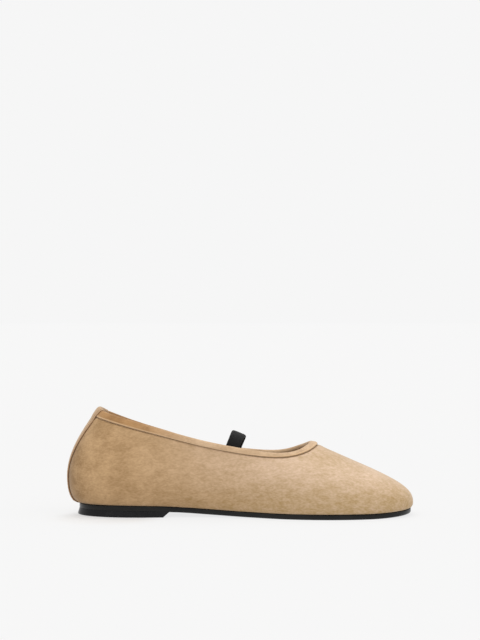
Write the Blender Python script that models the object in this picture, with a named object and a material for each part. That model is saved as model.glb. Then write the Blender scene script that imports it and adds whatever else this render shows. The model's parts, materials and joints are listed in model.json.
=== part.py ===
"""Ballet flat for a left foot: a suede upper with a bound collar, heel strip, insole, thin outsole, low heel
and an elastic strap over the instep.

The toe points along +X, the inner side of the foot faces -Y and +Z is up. The origin lies on the floor
under the middle of the shoe. All sizes are in metres.
"""

import math
from typing import NamedTuple

import bmesh
import bpy
import numpy as np
from mathutils import Matrix

# Sizes of the last
LENGTH = 0.250
BALL_WIDTH = 0.084
BACK_HEIGHT = 0.0754
THROAT_HEIGHT = 0.0513

# Sizes of the bottom
SOLE_THICKNESS = 0.0035
HEEL_LIFT = 0.0045
TOE_SPRING = 0.0020
SOLE_EDGE_TOP = 0.0005
SOLE_EDGE_BOTTOM = 0.0012
HEEL_LENGTH = 0.0624
HEEL_FLARE = 0.0012
BREAST_SLANT = 0.0042
INSOLE_THICKNESS = 0.0020
INSOLE_FIT = 0.0006

# Sizes of the upper and what is sewn to it
UPPER_WALL = 0.0018
LASTING_MARGIN = 0.0090
FEATHER_INSET = 0.0010
BINDING_DEPTH = 0.0037
BINDING_THICKNESS = 0.0008
STRIP_WIDTH = 0.0215
STRIP_THICKNESS = 0.0008
STRIP_TURN_IN = 0.0070
STRAP_WIDTH = 0.0106
STRAP_THICKNESS = 0.0012
STRAP_STATION = 0.1193
STRAP_RISE = 0.0122
STRAP_TAB = 0.0140
STRAP_TILT = math.radians(22.0)
GAP = 0.0003

# Fineness of the faceted solids
RIBS_A_SIDE = 48
BINDING_RIBS_A_SIDE = 42
TURN_STEPS = 5
WALL_STEPS = 7
CAP_COLUMNS = 4
FOLD_STEPS = 4
STRAP_STEPS = 10
STRAP_COLUMNS = 5
STRIP_DOWN_STEPS = 15
HEEL_STEPS = 14
HEEL_STEP_EASE = 1.2
STRIP_COLUMNS = 7
STRIP_PROBE = 1e-3
SHARP_ANGLE = math.radians(40)

# Fineness of the lines that places are read from
WALL_SAMPLES = 81
BACK_SAMPLES = 161
FOOT_SAMPLES = 120
SEAT_SAMPLES = 41
OUTLINE_SAMPLES = 400
COLLAR_SAMPLES = 300

# Places round the last: out along the inner side and home along the outer side
FULL_TURN = 2.0
OUTLINE_SEARCH = (0.01, 0.95)
COLLAR_SEARCH = (0.05, 0.62)
# Highest t of the wall that the insole can touch
SEAT_REACH = 1.6

# Shape of every rib: how far the turned edge runs out along the seat, and how far it rises upright to
# the swell
TURN_REACH = 0.68
TURN_RISE = 0.60


class SoleRow(NamedTuple):
    """A rib where it meets the sole.

    Lengths are shares of LENGTH, widths of BALL_WIDTH and the height of BACK_HEIGHT.
    """

    along: float
    outer: float
    inner: float
    swell: float
    swell_height: float


class CollarRow(NamedTuple):
    """The same rib at the collar: heights run from 0 at THROAT_HEIGHT to 1 at BACK_HEIGHT.

    rise, reach and drop bend the wall between its swell and the collar, as shares of the height and distance.
    """

    along: float
    outer: float
    inner: float
    outer_height: float
    inner_height: float
    rise: float
    reach: float
    drop: float


SOLE_ROWS = [
    SoleRow(0.033, 0.000, 0.000, 0.095, 0.250),  # centre back
    SoleRow(0.056, 0.172, 0.172, 0.084, 0.244),  # back of the heel
    SoleRow(0.124, 0.296, 0.298, 0.052, 0.230),  # side of the heel
    SoleRow(0.248, 0.338, 0.326, 0.036, 0.212),  # quarter
    SoleRow(0.396, 0.352, 0.298, 0.032, 0.195),  # waist
    SoleRow(0.536, 0.418, 0.372, 0.030, 0.170),  # instep
    SoleRow(0.676, 0.484, 0.482, 0.028, 0.135),  # ball
    SoleRow(0.800, 0.452, 0.488, 0.026, 0.100),  # forepart
    SoleRow(0.906, 0.316, 0.396, 0.024, 0.070),  # side of the toe
    SoleRow(0.970, 0.140, 0.250, 0.022, 0.054),  # corner of the toe
    SoleRow(0.991, -0.054, 0.054, 0.020, 0.048),  # tip of the toe
]

COLLAR_ROWS = [
    CollarRow(0.0885, 0.000, 0.000, 1.000, 1.000, 0.38, 0.44, 0.29),  # centre back
    CollarRow(0.102, 0.125, 0.125, 0.900, 0.915, 0.37, 0.44, 0.29),  # back of the heel
    CollarRow(0.170, 0.240, 0.240, 0.590, 0.690, 0.34, 0.42, 0.29),  # side of the heel
    CollarRow(0.276, 0.300, 0.298, 0.225, 0.385, 0.33, 0.42, 0.29),  # quarter
    CollarRow(0.400, 0.330, 0.324, -0.155, 0.043, 0.34, 0.42, 0.28),  # waist
    CollarRow(0.520, 0.336, 0.328, -0.330, -0.180, 0.38, 0.42, 0.25),  # instep
    CollarRow(0.618, 0.312, 0.312, -0.345, -0.275, 0.44, 0.46, 0.24),  # ball
    CollarRow(0.669, 0.246, 0.248, -0.200, -0.195, 0.41, 0.58, 0.34),  # forepart
    CollarRow(0.693, 0.164, 0.170, -0.089, -0.085, 0.34, 0.71, 0.48),  # side of the toe
    CollarRow(0.705, 0.076, 0.086, -0.017, -0.012, 0.29, 0.80, 0.57),  # corner of the toe
    CollarRow(0.708, -0.006, 0.006, 0.000, 0.000, 0.28, 0.82, 0.59),  # tip of the toe
]

# Height of the seat along the sole: shares of LENGTH and of HEEL_LIFT, level at the back of the heel and
# from the ball on
SHANK_ROWS = [
    (0.00, 1.00),
    (0.14, 1.00),
    (0.27, 0.89),
    (0.34, 0.68),
    (0.43, 0.35),
    (0.52, 0.12),
    (0.64, 0.00),
    (1.00, 0.00),
]
# Reach of the binding from the back (0) to the throat (1), as shares of BINDING_DEPTH
BINDING_ROWS = [(0.00, 1.35), (0.14, 1.05), (0.40, 0.60), (0.66, 0.95), (1.00, 1.05)]
# Width of the heel strip from the collar (0) to its foot (1), as shares of STRIP_WIDTH
STRIP_ROWS = [(0.00, 1.00), (0.30, 0.93), (0.65, 0.71), (1.00, 0.62)]
# Lengths of the strip's step off the binding and of the strap's step past it, in thicknesses
STRIP_STEP = 4
STRAP_STEP = 3
# Fullness of the strap's arch above its ends and at its crown
ARCH_RISE = 0.7
ARCH_SPREAD = 0.28

# Where the sole starts to rise to the toe, as a share of LENGTH, and how sharply it does
SPRING_START = 0.86
SPRING_POWER = 2.0


def closed_spline(knots, values, at):
    """Curve of matching slope and bend through the values, which closes after the last knot."""
    count = len(values)
    spans = np.diff(knots)
    before = np.roll(spans, 1)
    slopes = (np.roll(values, -1, axis=0) - values) / spans[:, None]
    system = np.zeros((count, count))
    for row in range(count):
        system[row, row] = 2 * (before[row] + spans[row])
        system[row, (row - 1) % count] += before[row]
        system[row, (row + 1) % count] += spans[row]
    bends = np.linalg.solve(system, 6 * (slopes - np.roll(slopes, 1, axis=0)))
    at = np.mod(at, knots[-1])
    left = np.clip(np.searchsorted(knots, at, side="right") - 1, 0, count - 1)
    right = (left + 1) % count
    span = spans[left][:, None]
    run = (at - knots[left])[:, None]
    rest = span - run
    return (
        bends[left] * rest**3 / (6 * span)
        + bends[right] * run**3 / (6 * span)
        + (values[left] / span - bends[left] * span / 6) * rest
        + (values[right] / span - bends[right] * span / 6) * run
    )


def smooth_table(rows, at):
    """Curve through rows of (place, value) that never overshoots them."""
    places = np.array([row[0] for row in rows])
    values = np.array([row[1] for row in rows])
    spans = np.diff(places)
    slopes = np.diff(values) / spans
    tangents = np.zeros(len(rows))
    for i in range(1, len(rows) - 1):
        if slopes[i - 1] * slopes[i] > 0:
            tangents[i] = 2 * slopes[i - 1] * slopes[i] / (slopes[i - 1] + slopes[i])
    left = np.clip(np.searchsorted(places, at, side="right") - 1, 0, len(spans) - 1)
    run = (at - places[left]) / spans[left]
    return (
        (2 * run**3 - 3 * run**2 + 1) * values[left]
        + (run**3 - 2 * run**2 + run) * spans[left] * tangents[left]
        + (3 * run**2 - 2 * run**3) * values[left + 1]
        + (run**3 - run**2) * spans[left] * tangents[left + 1]
    )


def seat_height(x):
    """Top of the outsole above the floor at a distance x from the back of the shoe."""
    share = np.clip(np.asarray(x, float) / LENGTH, 0.0, 1.0)
    spring = np.clip((share - SPRING_START) / (1.0 - SPRING_START), 0.0, 1.0) ** SPRING_POWER
    return SOLE_THICKNESS + HEEL_LIFT * smooth_table(SHANK_ROWS, share) + TOE_SPRING * spring


def around_the_last(inner_values, outer_values):
    """Rows from back to tip, as one ring: out along the inner side and home along the outer side."""
    return np.concatenate([inner_values, outer_values[-2:0:-1]])


def rib_tables():
    """The ring of ribs as (knots, sole columns, collar columns), in metres and heights."""
    sole = np.array(SOLE_ROWS)
    collar = np.array(COLLAR_ROWS)
    x = sole[:, 0] * LENGTH
    y_outer = sole[:, 1] * BALL_WIDTH
    y_inner = -sole[:, 2] * BALL_WIDTH
    swell = np.column_stack([sole[:, 3] * BALL_WIDTH, sole[:, 4] * BACK_HEIGHT])
    inner = np.column_stack([x, y_inner, swell])
    outer = np.column_stack([x, y_outer, swell])
    chords = (np.hypot(np.diff(x), np.diff(y_inner)) + np.hypot(np.diff(x), np.diff(y_outer))) / 2
    one_side = np.concatenate([[0.0], np.cumsum(chords)]) / chords.sum()
    knots = np.concatenate([one_side, FULL_TURN - one_side[-2::-1]])
    heights = THROAT_HEIGHT + (BACK_HEIGHT - THROAT_HEIGHT) * collar[:, 3:5]
    shape = collar[:, 5:8]
    collar_x = collar[:, 0] * LENGTH
    collar_outer = np.column_stack([collar_x, collar[:, 1] * BALL_WIDTH, heights[:, 0], shape])
    collar_inner = np.column_stack([collar_x, -collar[:, 2] * BALL_WIDTH, heights[:, 1], shape])
    return knots, around_the_last(inner, outer), around_the_last(collar_inner, collar_outer)


KNOTS, SOLE_RING, COLLAR_RING = rib_tables()
# Step between the two places that a direction is read from
SMALL_STEP = 1e-4


def sole_outline(u, outset=0.0):
    """Plan points of the sole's outline, moved outwards by outset, and the outward direction at each.

    u is 0 at the back, 1 at the tip and 2 at the back again.
    """
    u = np.asarray(u, float)
    points = closed_spline(KNOTS, SOLE_RING, u)[:, :2]
    ahead = closed_spline(KNOTS, SOLE_RING, u + SMALL_STEP)[:, :2]
    behind = closed_spline(KNOTS, SOLE_RING, u - SMALL_STEP)[:, :2]
    run = ahead - behind
    run /= np.linalg.norm(run, axis=1)[:, None]
    outward = np.column_stack([run[:, 1], -run[:, 0]])
    return points + outward * np.reshape(outset, (-1, 1)), outward


def bezier(controls, share):
    """Point of a cubic with four control points at each share."""
    s = share[:, None]
    return (
        controls[0] * (1 - s) ** 3
        + 3 * controls[1] * s * (1 - s) ** 2
        + 3 * controls[2] * s**2 * (1 - s)
        + controls[3] * s**3
    )


def skin(u, t):
    """Outer face of the upper.

    t is -1 at the edge of the lasting margin, 0 at the feather, 1 at the swell, 2 at the collar.
    """
    columns = closed_spline(KNOTS, SOLE_RING, u)
    collar = closed_spline(KNOTS, COLLAR_RING, u)
    feather_plan, outward = sole_outline(u, -FEATHER_INSET)
    swell_plan = sole_outline(u, columns[:, 2])[0]
    seat = seat_height(feather_plan[:, 0]) + GAP
    feather = np.column_stack([feather_plan, seat])
    swell = np.column_stack([swell_plan, seat + columns[:, 3]])
    turn_run = np.linalg.norm(swell_plan - feather_plan, axis=1)[:, None]
    turn_out = feather + np.column_stack([outward, 0 * seat]) * turn_run * TURN_REACH
    turn_up = swell - np.column_stack([0 * outward, columns[:, 3]]) * TURN_RISE
    edge = collar[:, :3]
    wall = edge[:, 2] - swell[:, 2]
    rise, reach, drop = collar[:, 3], collar[:, 4], collar[:, 5]
    upright = swell + np.column_stack([0 * outward, rise * wall])
    shoulder_plan = edge[:, :2] + (swell_plan - edge[:, :2]) * reach[:, None]
    shoulder = np.column_stack([shoulder_plan, edge[:, 2] - drop * wall])
    margin_plan = feather_plan + outward * (np.minimum(t, 0.0) * LASTING_MARGIN)[:, None]
    margin = np.column_stack([margin_plan, seat_height(margin_plan[:, 0]) + GAP])
    turned = bezier((feather, turn_out, turn_up, swell), np.clip(t, 0.0, 1.0))
    side = bezier((swell, upright, shoulder, edge), np.maximum(t - 1.0, 0.0))
    picked = (t[:, None] < 0.0, t[:, None] <= 1.0)
    return np.select(picked, (margin, turned), side)


def skin_normal(u, t):
    """Outward normal of the upper's outer face."""
    along = skin(u + SMALL_STEP, t) - skin(u - SMALL_STEP, t)
    low = np.maximum(t - SMALL_STEP, np.where(t > 0.0, 0.0, -1.0))
    up = skin(u, t + SMALL_STEP) - skin(u, low)
    normal = np.cross(along, up)
    return normal / np.linalg.norm(normal, axis=1)[:, None]


def skin_below_collar(u, depth, offset):
    """Point a depth down the wall from the collar's edge and an offset out from the wall.

    u, depth and offset are arrays of one length. A depth below 0 is past the edge.
    """
    samples = np.linspace(2.0, 0.0, WALL_SAMPLES)
    count = len(samples)
    lines = skin(np.repeat(u, count), np.tile(samples, len(u))).reshape(len(u), count, 3)
    runs = np.linalg.norm(np.diff(lines, axis=1), axis=2)
    lengths = np.concatenate([np.zeros((len(u), 1)), np.cumsum(runs, axis=1)], axis=1)
    t = np.array([np.interp(down, length, samples) for down, length in zip(depth, lengths)])
    past_edge = (lines[:, 1] - lines[:, 0]) / lengths[:, 1:2] * np.minimum(depth, 0.0)[:, None]
    return skin(u, t) + skin_normal(u, t) * np.reshape(offset, (-1, 1)) + past_edge


def ring_stations(count_a_side):
    """Even places round the last."""
    return np.arange(2 * count_a_side) / count_a_side


def new_object(name, bm, colour, roughness):
    """Smooth object of a finished bmesh, with its own material."""
    bmesh.ops.recalc_face_normals(bm, faces=bm.faces)
    mesh = bpy.data.meshes.new(name)
    bm.to_mesh(mesh)
    bm.free()
    mesh.shade_smooth()
    mesh.set_sharp_from_angle(angle=SHARP_ANGLE)
    material = bpy.data.materials.new(name)
    material.use_nodes = True
    shader = material.node_tree.nodes["Principled BSDF"]
    shader.inputs["Base Color"].default_value = (*colour, 1.0)
    shader.inputs["Roughness"].default_value = roughness
    shader.inputs["Metallic"].default_value = 0.0
    mesh.materials.append(material)
    obj = bpy.data.objects.new(name, mesh)
    bpy.context.scene.collection.objects.link(obj)
    return obj


def add_rings(bm, rings):
    """Vertices of each ring, and the band of faces between one ring and the next."""
    made = [[bm.verts.new(point) for point in ring] for ring in rings]
    for low, high in zip(made, made[1:]):
        count = len(low)
        for i in range(count):
            j = (i + 1) % count
            bm.faces.new((low[i], low[j], high[j], high[i]))
    return made


def close_tube(bm, made):
    """Band of faces from the last ring back to the first."""
    first, last = made[0], made[-1]
    for i in range(len(first)):
        j = (i + 1) % len(first)
        bm.faces.new((last[i], last[j], first[j], first[i]))


def add_cap(bm, ring, height, front=0):
    """Fills a ring whose places pair off across the shoe, with front places between the last pair.

    height gives each filling vertex its level."""
    half = (len(ring) - front) // 2
    last = half if front else half - 1
    rows = []
    for i in range(1, last + 1):
        one, other = ring[i], ring[-i]
        row = [one]
        for column in range(1, CAP_COLUMNS):
            if front and i == last:
                row.append(ring[i + column])
                continue
            point = one.co.lerp(other.co, column / CAP_COLUMNS)
            point.z = height(point.x)
            row.append(bm.verts.new(point))
        row.append(other)
        rows.append(row)
    for first, second in zip(rows, rows[1:]):
        for k in range(CAP_COLUMNS):
            bm.faces.new((first[k], first[k + 1], second[k + 1], second[k]))
    ends = [(ring[0], rows[0])]
    if not front:
        ends.append((ring[half], rows[-1]))
    for point, row in ends:
        for k in range(CAP_COLUMNS):
            bm.faces.new((point, row[k], row[k + 1]))


def make_upper():
    """One hollow wall, lasted under at the feather and open at the collar."""
    stations = ring_stations(RIBS_A_SIDE)
    turn = np.linspace(0.0, 1.0, TURN_STEPS + 1)
    wall = np.linspace(1.0, 2.0, WALL_STEPS + 1)[1:]
    levels = np.concatenate([[-1.0], turn, wall])
    outer, inner = [], []
    for level in levels:
        t = np.full(len(stations), level)
        face = skin(stations, t)
        outer.append(face)
        inner.append(face - skin_normal(stations, t) * UPPER_WALL)
    bm = bmesh.new()
    close_tube(bm, add_rings(bm, outer + inner[::-1]))
    return new_object("upper", bm, (0.50, 0.32, 0.17), 0.95)


def binding_depth(u):
    """How far the binding reaches down the wall at each place round the last."""
    from_back = 1.0 - np.abs(np.mod(np.asarray(u, float), FULL_TURN) - 1.0)
    return BINDING_DEPTH * smooth_table(BINDING_ROWS, from_back)


def fold_over_edge(radius, steps):
    """Half circle round the collar's edge, as (depth, offset), from the outer face to the inner."""
    angles = np.linspace(0.0, math.pi, steps + 1)
    return [(-radius * math.sin(a), -UPPER_WALL / 2 + radius * math.cos(a)) for a in angles]


def make_binding():
    """Strip of suede folded over the collar all round."""
    stations = ring_stations(BINDING_RIBS_A_SIDE)
    count = len(stations)
    leg = binding_depth(stations)
    inner_fold = fold_over_edge(UPPER_WALL / 2 + GAP, FOLD_STEPS)
    outer_fold = fold_over_edge(UPPER_WALL / 2 + GAP + BINDING_THICKNESS, FOLD_STEPS)
    profile = [(leg, GAP), (leg, GAP + BINDING_THICKNESS)]
    profile += [(leg * 0 + depth, offset) for depth, offset in outer_fold]
    profile += [(leg, outer_fold[-1][1]), (leg, inner_fold[-1][1])]
    profile += [(leg * 0 + depth, offset) for depth, offset in inner_fold[::-1]]
    rings = [skin_below_collar(stations, depth, np.full(count, offset)) for depth, offset in profile]
    bm = bmesh.new()
    close_tube(bm, add_rings(bm, rings))
    return new_object("collar_binding", bm, (0.56, 0.36, 0.19), 0.95)


def make_sheet(bm, middle, thickness, outward):
    """Closed body around a grid of points (rows, columns), half the thickness to each side."""
    along = np.gradient(middle, axis=0)
    across = np.gradient(middle, axis=1)
    normal = np.cross(along, across)
    normal /= np.linalg.norm(normal, axis=2)[:, :, None]
    centre = (len(middle) // 2, middle.shape[1] // 2)
    if np.dot(normal[centre], outward) < 0:
        normal = -normal
    faces = [middle + normal * thickness / 2, middle - normal * thickness / 2]
    top, bottom = [[[bm.verts.new(point) for point in row] for row in face] for face in faces]
    rows, columns = middle.shape[:2]
    for face in (top, bottom):
        for i in range(rows - 1):
            for k in range(columns - 1):
                bm.faces.new((face[i][k], face[i][k + 1], face[i + 1][k + 1], face[i + 1][k]))
    border = [(0, k) for k in range(columns)] + [(i, columns - 1) for i in range(1, rows)]
    border += [(rows - 1, k) for k in range(columns - 2, -1, -1)] + [(i, 0) for i in range(rows - 2, 0, -1)]
    for (i, k), (m, n) in zip(border, border[1:] + border[:1]):
        bm.faces.new((top[i][k], top[m][n], bottom[m][n], bottom[i][k]))


def strip_path():
    """Line of the heel strip as (depth, offset): up the inside, over the bound collar and down the back."""
    clear = GAP + STRIP_THICKNESS / 2
    over_binding = GAP + BINDING_THICKNESS + clear
    inside = -UPPER_WALL - over_binding
    line = skin(np.zeros(BACK_SAMPLES), np.linspace(2.0, 0.0, BACK_SAMPLES))
    full_depth = np.linalg.norm(np.diff(line, axis=0), axis=1).sum()
    leg = float(binding_depth(0.0))
    step_end = leg + STRIP_STEP * STRIP_THICKNESS
    path = [(STRIP_TURN_IN * share, inside) for share in (1.0, 0.75, 0.5, 0.25)]
    path += fold_over_edge(UPPER_WALL / 2 + over_binding, 2 * FOLD_STEPS)[::-1]
    path += [(leg / 2, over_binding), (leg + GAP, over_binding), (step_end, clear)]
    depths = np.linspace(step_end, full_depth, FOOT_SAMPLES)
    outside = np.full(FOOT_SAMPLES, clear + STRIP_THICKNESS / 2)
    face = skin_below_collar(np.zeros(FOOT_SAMPLES), depths, outside)
    foot = depths[face[:, 2] > seat_height(face[:, 0]) + 2 * GAP][-1]
    lower = np.linspace(step_end, foot, STRIP_DOWN_STEPS)[1:]
    return np.array(path + [(depth, clear) for depth in lower])


def make_heel_strip():
    """Strip over the back seam, turned in over the collar and narrower towards its foot."""
    path = strip_path()
    count = len(path)
    line = skin_below_collar(np.zeros(count), path[:, 0], path[:, 1])
    aside = skin_below_collar(np.full(count, STRIP_PROBE), path[:, 0], path[:, 1])
    speed = np.abs(aside[:, 1] - line[:, 1]) / STRIP_PROBE
    down = np.clip(path[:, 0] / path[-1, 0], 0.0, 1.0)
    width = STRIP_WIDTH * smooth_table(STRIP_ROWS, down)
    shares = np.linspace(-0.5, 0.5, STRIP_COLUMNS)
    grid = [skin_below_collar(-share * width / speed, path[:, 0], path[:, 1]) for share in shares]
    bm = bmesh.new()
    make_sheet(bm, np.stack(grid, axis=1), STRIP_THICKNESS, (-1.0, 0.0, 0.0))
    return new_object("heel_strip", bm, (0.48, 0.31, 0.17), 0.95)


def level_ring(stations, outset, height):
    """Ring on the sole's outline, moved by outset, at the level that height gives along the shoe."""
    plan = sole_outline(stations, outset)[0]
    return np.column_stack([plan, height(plan[:, 0])])


def sole_underside(x):
    """Underside of the outsole above the floor."""
    return seat_height(x) - SOLE_THICKNESS


def make_outsole():
    """Thin sole, flat under the ball, with its edge rounded above and below."""
    stations = ring_stations(RIBS_A_SIDE)
    rings = [
        level_ring(stations, -SOLE_EDGE_TOP, seat_height),
        level_ring(stations, 0.0, lambda x: seat_height(x) - SOLE_EDGE_TOP),
        level_ring(stations, 0.0, lambda x: sole_underside(x) + SOLE_EDGE_BOTTOM),
        level_ring(stations, -SOLE_EDGE_BOTTOM / 3, lambda x: sole_underside(x) + SOLE_EDGE_BOTTOM / 3),
        level_ring(stations, -SOLE_EDGE_BOTTOM, sole_underside),
    ]
    bm = bmesh.new()
    made = add_rings(bm, rings)
    add_cap(bm, made[0], seat_height)
    add_cap(bm, made[-1], sole_underside)
    return new_object("outsole", bm, (0.012, 0.012, 0.013), 0.45)


def station_at(x, side):
    """Place on the sole's outline a distance x from the back, on the inner (-1) or outer side (1)."""
    places = np.linspace(*OUTLINE_SEARCH, OUTLINE_SAMPLES)
    line = sole_outline(places if side < 0 else FULL_TURN - places)[0][:, 0]
    found = float(np.interp(x, line, places))
    return found if side < 0 else FULL_TURN - found


def heel_ring(breast, outset, height):
    """Ring of the heel from the back to its breast, as pairs across the shoe."""
    ease = np.linspace(0.0, 1.0, HEEL_STEPS + 1) ** HEEL_STEP_EASE
    inner = level_ring(ease * station_at(breast, -1), outset, height)
    outer = level_ring(FULL_TURN - ease * (FULL_TURN - station_at(breast, 1)), outset, height)
    shares = np.linspace(0.0, 1.0, CAP_COLUMNS + 1)[:, None]
    front = inner[-1] + (outer[-1] - inner[-1]) * shares
    front[:, 0] = breast
    front[:, 2] = height(breast)
    return np.concatenate([inner[:-1], front, outer[-2:0:-1]])


def make_heel():
    """Low heel block with a slanted breast, a little wider at the floor."""
    back = SOLE_ROWS[0].along * LENGTH
    breast = back + HEEL_LENGTH
    soft = SOLE_EDGE_TOP

    def under_sole(x):
        return sole_underside(x) - GAP

    rings = [
        heel_ring(breast + BREAST_SLANT, 0.0, under_sole),
        heel_ring(breast + BREAST_SLANT * soft / HEEL_LIFT, HEEL_FLARE, lambda x: 0 * x + soft),
        heel_ring(breast, HEEL_FLARE - soft, lambda x: 0 * x),
    ]
    bm = bmesh.new()
    made = add_rings(bm, rings)
    add_cap(bm, made[0], under_sole, CAP_COLUMNS - 1)
    add_cap(bm, made[-1], lambda x: 0.0, CAP_COLUMNS - 1)
    return new_object("heel_block", bm, (0.014, 0.014, 0.015), 0.40)


def inside_ring(stations, above_seat, clearance):
    """Ring just inside the upper's wall at a height above the seat."""
    samples = np.linspace(0.0, SEAT_REACH, SEAT_SAMPLES)
    count = len(samples)
    u, t = np.repeat(stations, count), np.tile(samples, len(stations))
    lines = (skin(u, t) - skin_normal(u, t) * (UPPER_WALL + clearance)).reshape(len(stations), count, 3)
    heights = np.maximum.accumulate(lines[:, :, 2] - seat_height(lines[:, :, 0]), axis=1)
    ring = []
    for line, height in zip(lines, heights):
        share = np.interp(above_seat, height, np.arange(count))
        low = int(min(share, count - 2))
        ring.append(line[low] + (line[low + 1] - line[low]) * (share - low))
    return np.array(ring)


def make_insole():
    """Insole on the lasting margin, fitted to the wall all round."""
    stations = ring_stations(RIBS_A_SIDE)
    base = GAP + UPPER_WALL + GAP
    top = base + INSOLE_THICKNESS
    low = level_ring(stations, -FEATHER_INSET - INSOLE_FIT, lambda x: seat_height(x) + base)
    high = inside_ring(stations, top, INSOLE_FIT)
    bm = bmesh.new()
    made = add_rings(bm, [low, high])
    add_cap(bm, made[0], lambda x: float(seat_height(x)) + base)
    add_cap(bm, made[1], lambda x: float(seat_height(x)) + top)
    return new_object("insole", bm, (0.46, 0.33, 0.21), 0.7)


def collar_station(x, side):
    """Place round the last where the collar lies a distance x from the back, on one side."""
    places = np.linspace(*COLLAR_SEARCH, COLLAR_SAMPLES)
    u = places if side < 0 else FULL_TURN - places
    line = skin(u, np.full(len(u), 2.0))[:, 0]
    return float(np.interp(x, line, u))


def strap_tab(side, columns):
    """Grid of points on the sewn end of the strap, from its foot to just above the bound collar."""
    near_wall = -(UPPER_WALL + GAP + STRAP_THICKNESS / 2)
    past_binding = near_wall - BINDING_THICKNESS - GAP
    rows = [
        (STRAP_TAB, near_wall),
        ((STRAP_TAB + BINDING_DEPTH) / 2, near_wall),
        (BINDING_DEPTH + STRAP_STEP * STRAP_THICKNESS, near_wall),
        (BINDING_DEPTH + GAP, past_binding),
        (BINDING_DEPTH / 2, past_binding),
        (0.0, past_binding),
        (-BINDING_THICKNESS - 2 * GAP, past_binding),
    ]
    grid = []
    for depth, offset in rows:
        x = STRAP_STATION + columns * math.cos(STRAP_TILT) - depth * math.sin(STRAP_TILT)
        u = np.array([collar_station(place, side) for place in x])
        grid.append(skin_below_collar(u, np.full(len(u), depth), np.full(len(u), offset)))
    return np.array(grid)


def strap_grid():
    """Middle of the strap as a grid of points: one sewn end, the arch over the instep, the other sewn end."""
    columns = np.linspace(-0.5, 0.5, STRAP_COLUMNS) * STRAP_WIDTH
    ends = [strap_tab(side, columns) for side in (-1, 1)]
    up = np.array([math.sin(STRAP_TILT), 0.0, math.cos(STRAP_TILT)])
    forward = np.array([math.cos(STRAP_TILT), 0.0, -math.sin(STRAP_TILT)])
    feet = [end[-1] for end in ends]
    middle = (feet[0] + feet[1])[len(columns) // 2] / 2 + up * STRAP_RISE
    crown = middle + forward * columns[:, None]
    halves = []
    for end, foot, other in zip(ends, feet, feet[::-1]):
        rising = end[-1] - end[-2]
        rising[:, 0] = rising[:, 2] * math.tan(STRAP_TILT)
        rising /= np.linalg.norm(rising, axis=1)[:, None]
        controls = (foot, foot + rising * STRAP_RISE * ARCH_RISE, crown + (foot - other) * ARCH_SPREAD, crown)
        shares = np.linspace(0.0, 1.0, STRAP_STEPS + 1)[1:]
        halves.append(np.array([bezier(controls, np.full(len(columns), share)) for share in shares]))
    return np.concatenate([ends[0], halves[0], halves[1][-2::-1], ends[1][::-1]])


def make_strap():
    """Flat elastic over the instep, sewn to the lining at both ends."""
    bm = bmesh.new()
    make_sheet(bm, strap_grid(), STRAP_THICKNESS, (0.0, 0.0, 1.0))
    return new_object("elastic_strap", bm, (0.012, 0.013, 0.014), 0.85)


def stand_on_origin(objects):
    """Moves the finished shoe so that the origin is on the floor under the middle of its box."""
    corners = np.array([vertex.co for obj in objects for vertex in obj.data.vertices])
    middle = (corners.min(axis=0) + corners.max(axis=0)) / 2
    shift = Matrix.Translation((-middle[0], -middle[1], 0.0))
    for obj in objects:
        obj.data.transform(shift)


def main():
    """Clears the scene and builds the shoe."""
    for old in list(bpy.data.objects):
        bpy.data.objects.remove(old)
    pieces = [
        make_outsole(),
        make_heel(),
        make_upper(),
        make_insole(),
        make_binding(),
        make_heel_strip(),
        make_strap(),
    ]
    stand_on_origin(pieces)


main()
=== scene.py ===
"""Looks of a left ballet flat in camel suede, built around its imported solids.

The shoe stands in metres with its toe along +X, the inner side of the foot at -Y and +Z up. Every piece
is worked out in the last's own frame, whose origin is on the floor at the very back, and is then put in
its place.
"""

import json
import logging
import math
from dataclasses import dataclass, field
from enum import Enum
from typing import Any, Callable, NamedTuple

import bmesh
import bpy
import numpy as np
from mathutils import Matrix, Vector, noise

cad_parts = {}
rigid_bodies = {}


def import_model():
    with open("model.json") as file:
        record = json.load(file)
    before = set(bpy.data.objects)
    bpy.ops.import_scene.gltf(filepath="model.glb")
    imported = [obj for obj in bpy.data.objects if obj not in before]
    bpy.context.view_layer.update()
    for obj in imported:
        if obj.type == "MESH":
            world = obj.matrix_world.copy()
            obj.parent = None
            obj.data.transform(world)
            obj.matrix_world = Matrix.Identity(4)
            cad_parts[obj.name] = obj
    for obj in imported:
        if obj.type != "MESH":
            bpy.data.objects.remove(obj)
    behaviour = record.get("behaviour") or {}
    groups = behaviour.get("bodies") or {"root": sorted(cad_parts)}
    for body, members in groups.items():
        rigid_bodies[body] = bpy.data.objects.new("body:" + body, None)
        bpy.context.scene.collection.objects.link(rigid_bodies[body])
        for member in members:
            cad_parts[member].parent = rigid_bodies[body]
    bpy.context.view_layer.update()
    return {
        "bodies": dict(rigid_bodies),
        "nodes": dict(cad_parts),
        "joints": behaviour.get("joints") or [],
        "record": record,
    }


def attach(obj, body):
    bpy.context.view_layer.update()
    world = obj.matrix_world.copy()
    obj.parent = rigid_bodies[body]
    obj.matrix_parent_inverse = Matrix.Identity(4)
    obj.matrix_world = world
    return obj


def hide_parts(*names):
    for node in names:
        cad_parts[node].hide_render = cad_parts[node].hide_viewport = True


LOG = logging.getLogger("ballet_flat")
BODY = "root"

Triple = tuple[float, float, float]
Range = tuple[float, float]
Colour = Triple
Socket = bpy.types.NodeSocket
SocketKinds = tuple[tuple[str, str], ...]
Heights = Callable[[np.ndarray], np.ndarray]
Levels = Callable[[np.ndarray, np.ndarray], np.ndarray]


class Side(Enum):
    """Which side of the foot a place is on."""

    INNER = -1
    OUTER = 1


class SoleRow(NamedTuple):
    """A rib where it meets the sole.

    along and swell_height are shares of the length and the back's height, the rest of the ball's width.
    """

    along: float
    outer: float
    inner: float
    swell: float
    swell_height: float


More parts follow.
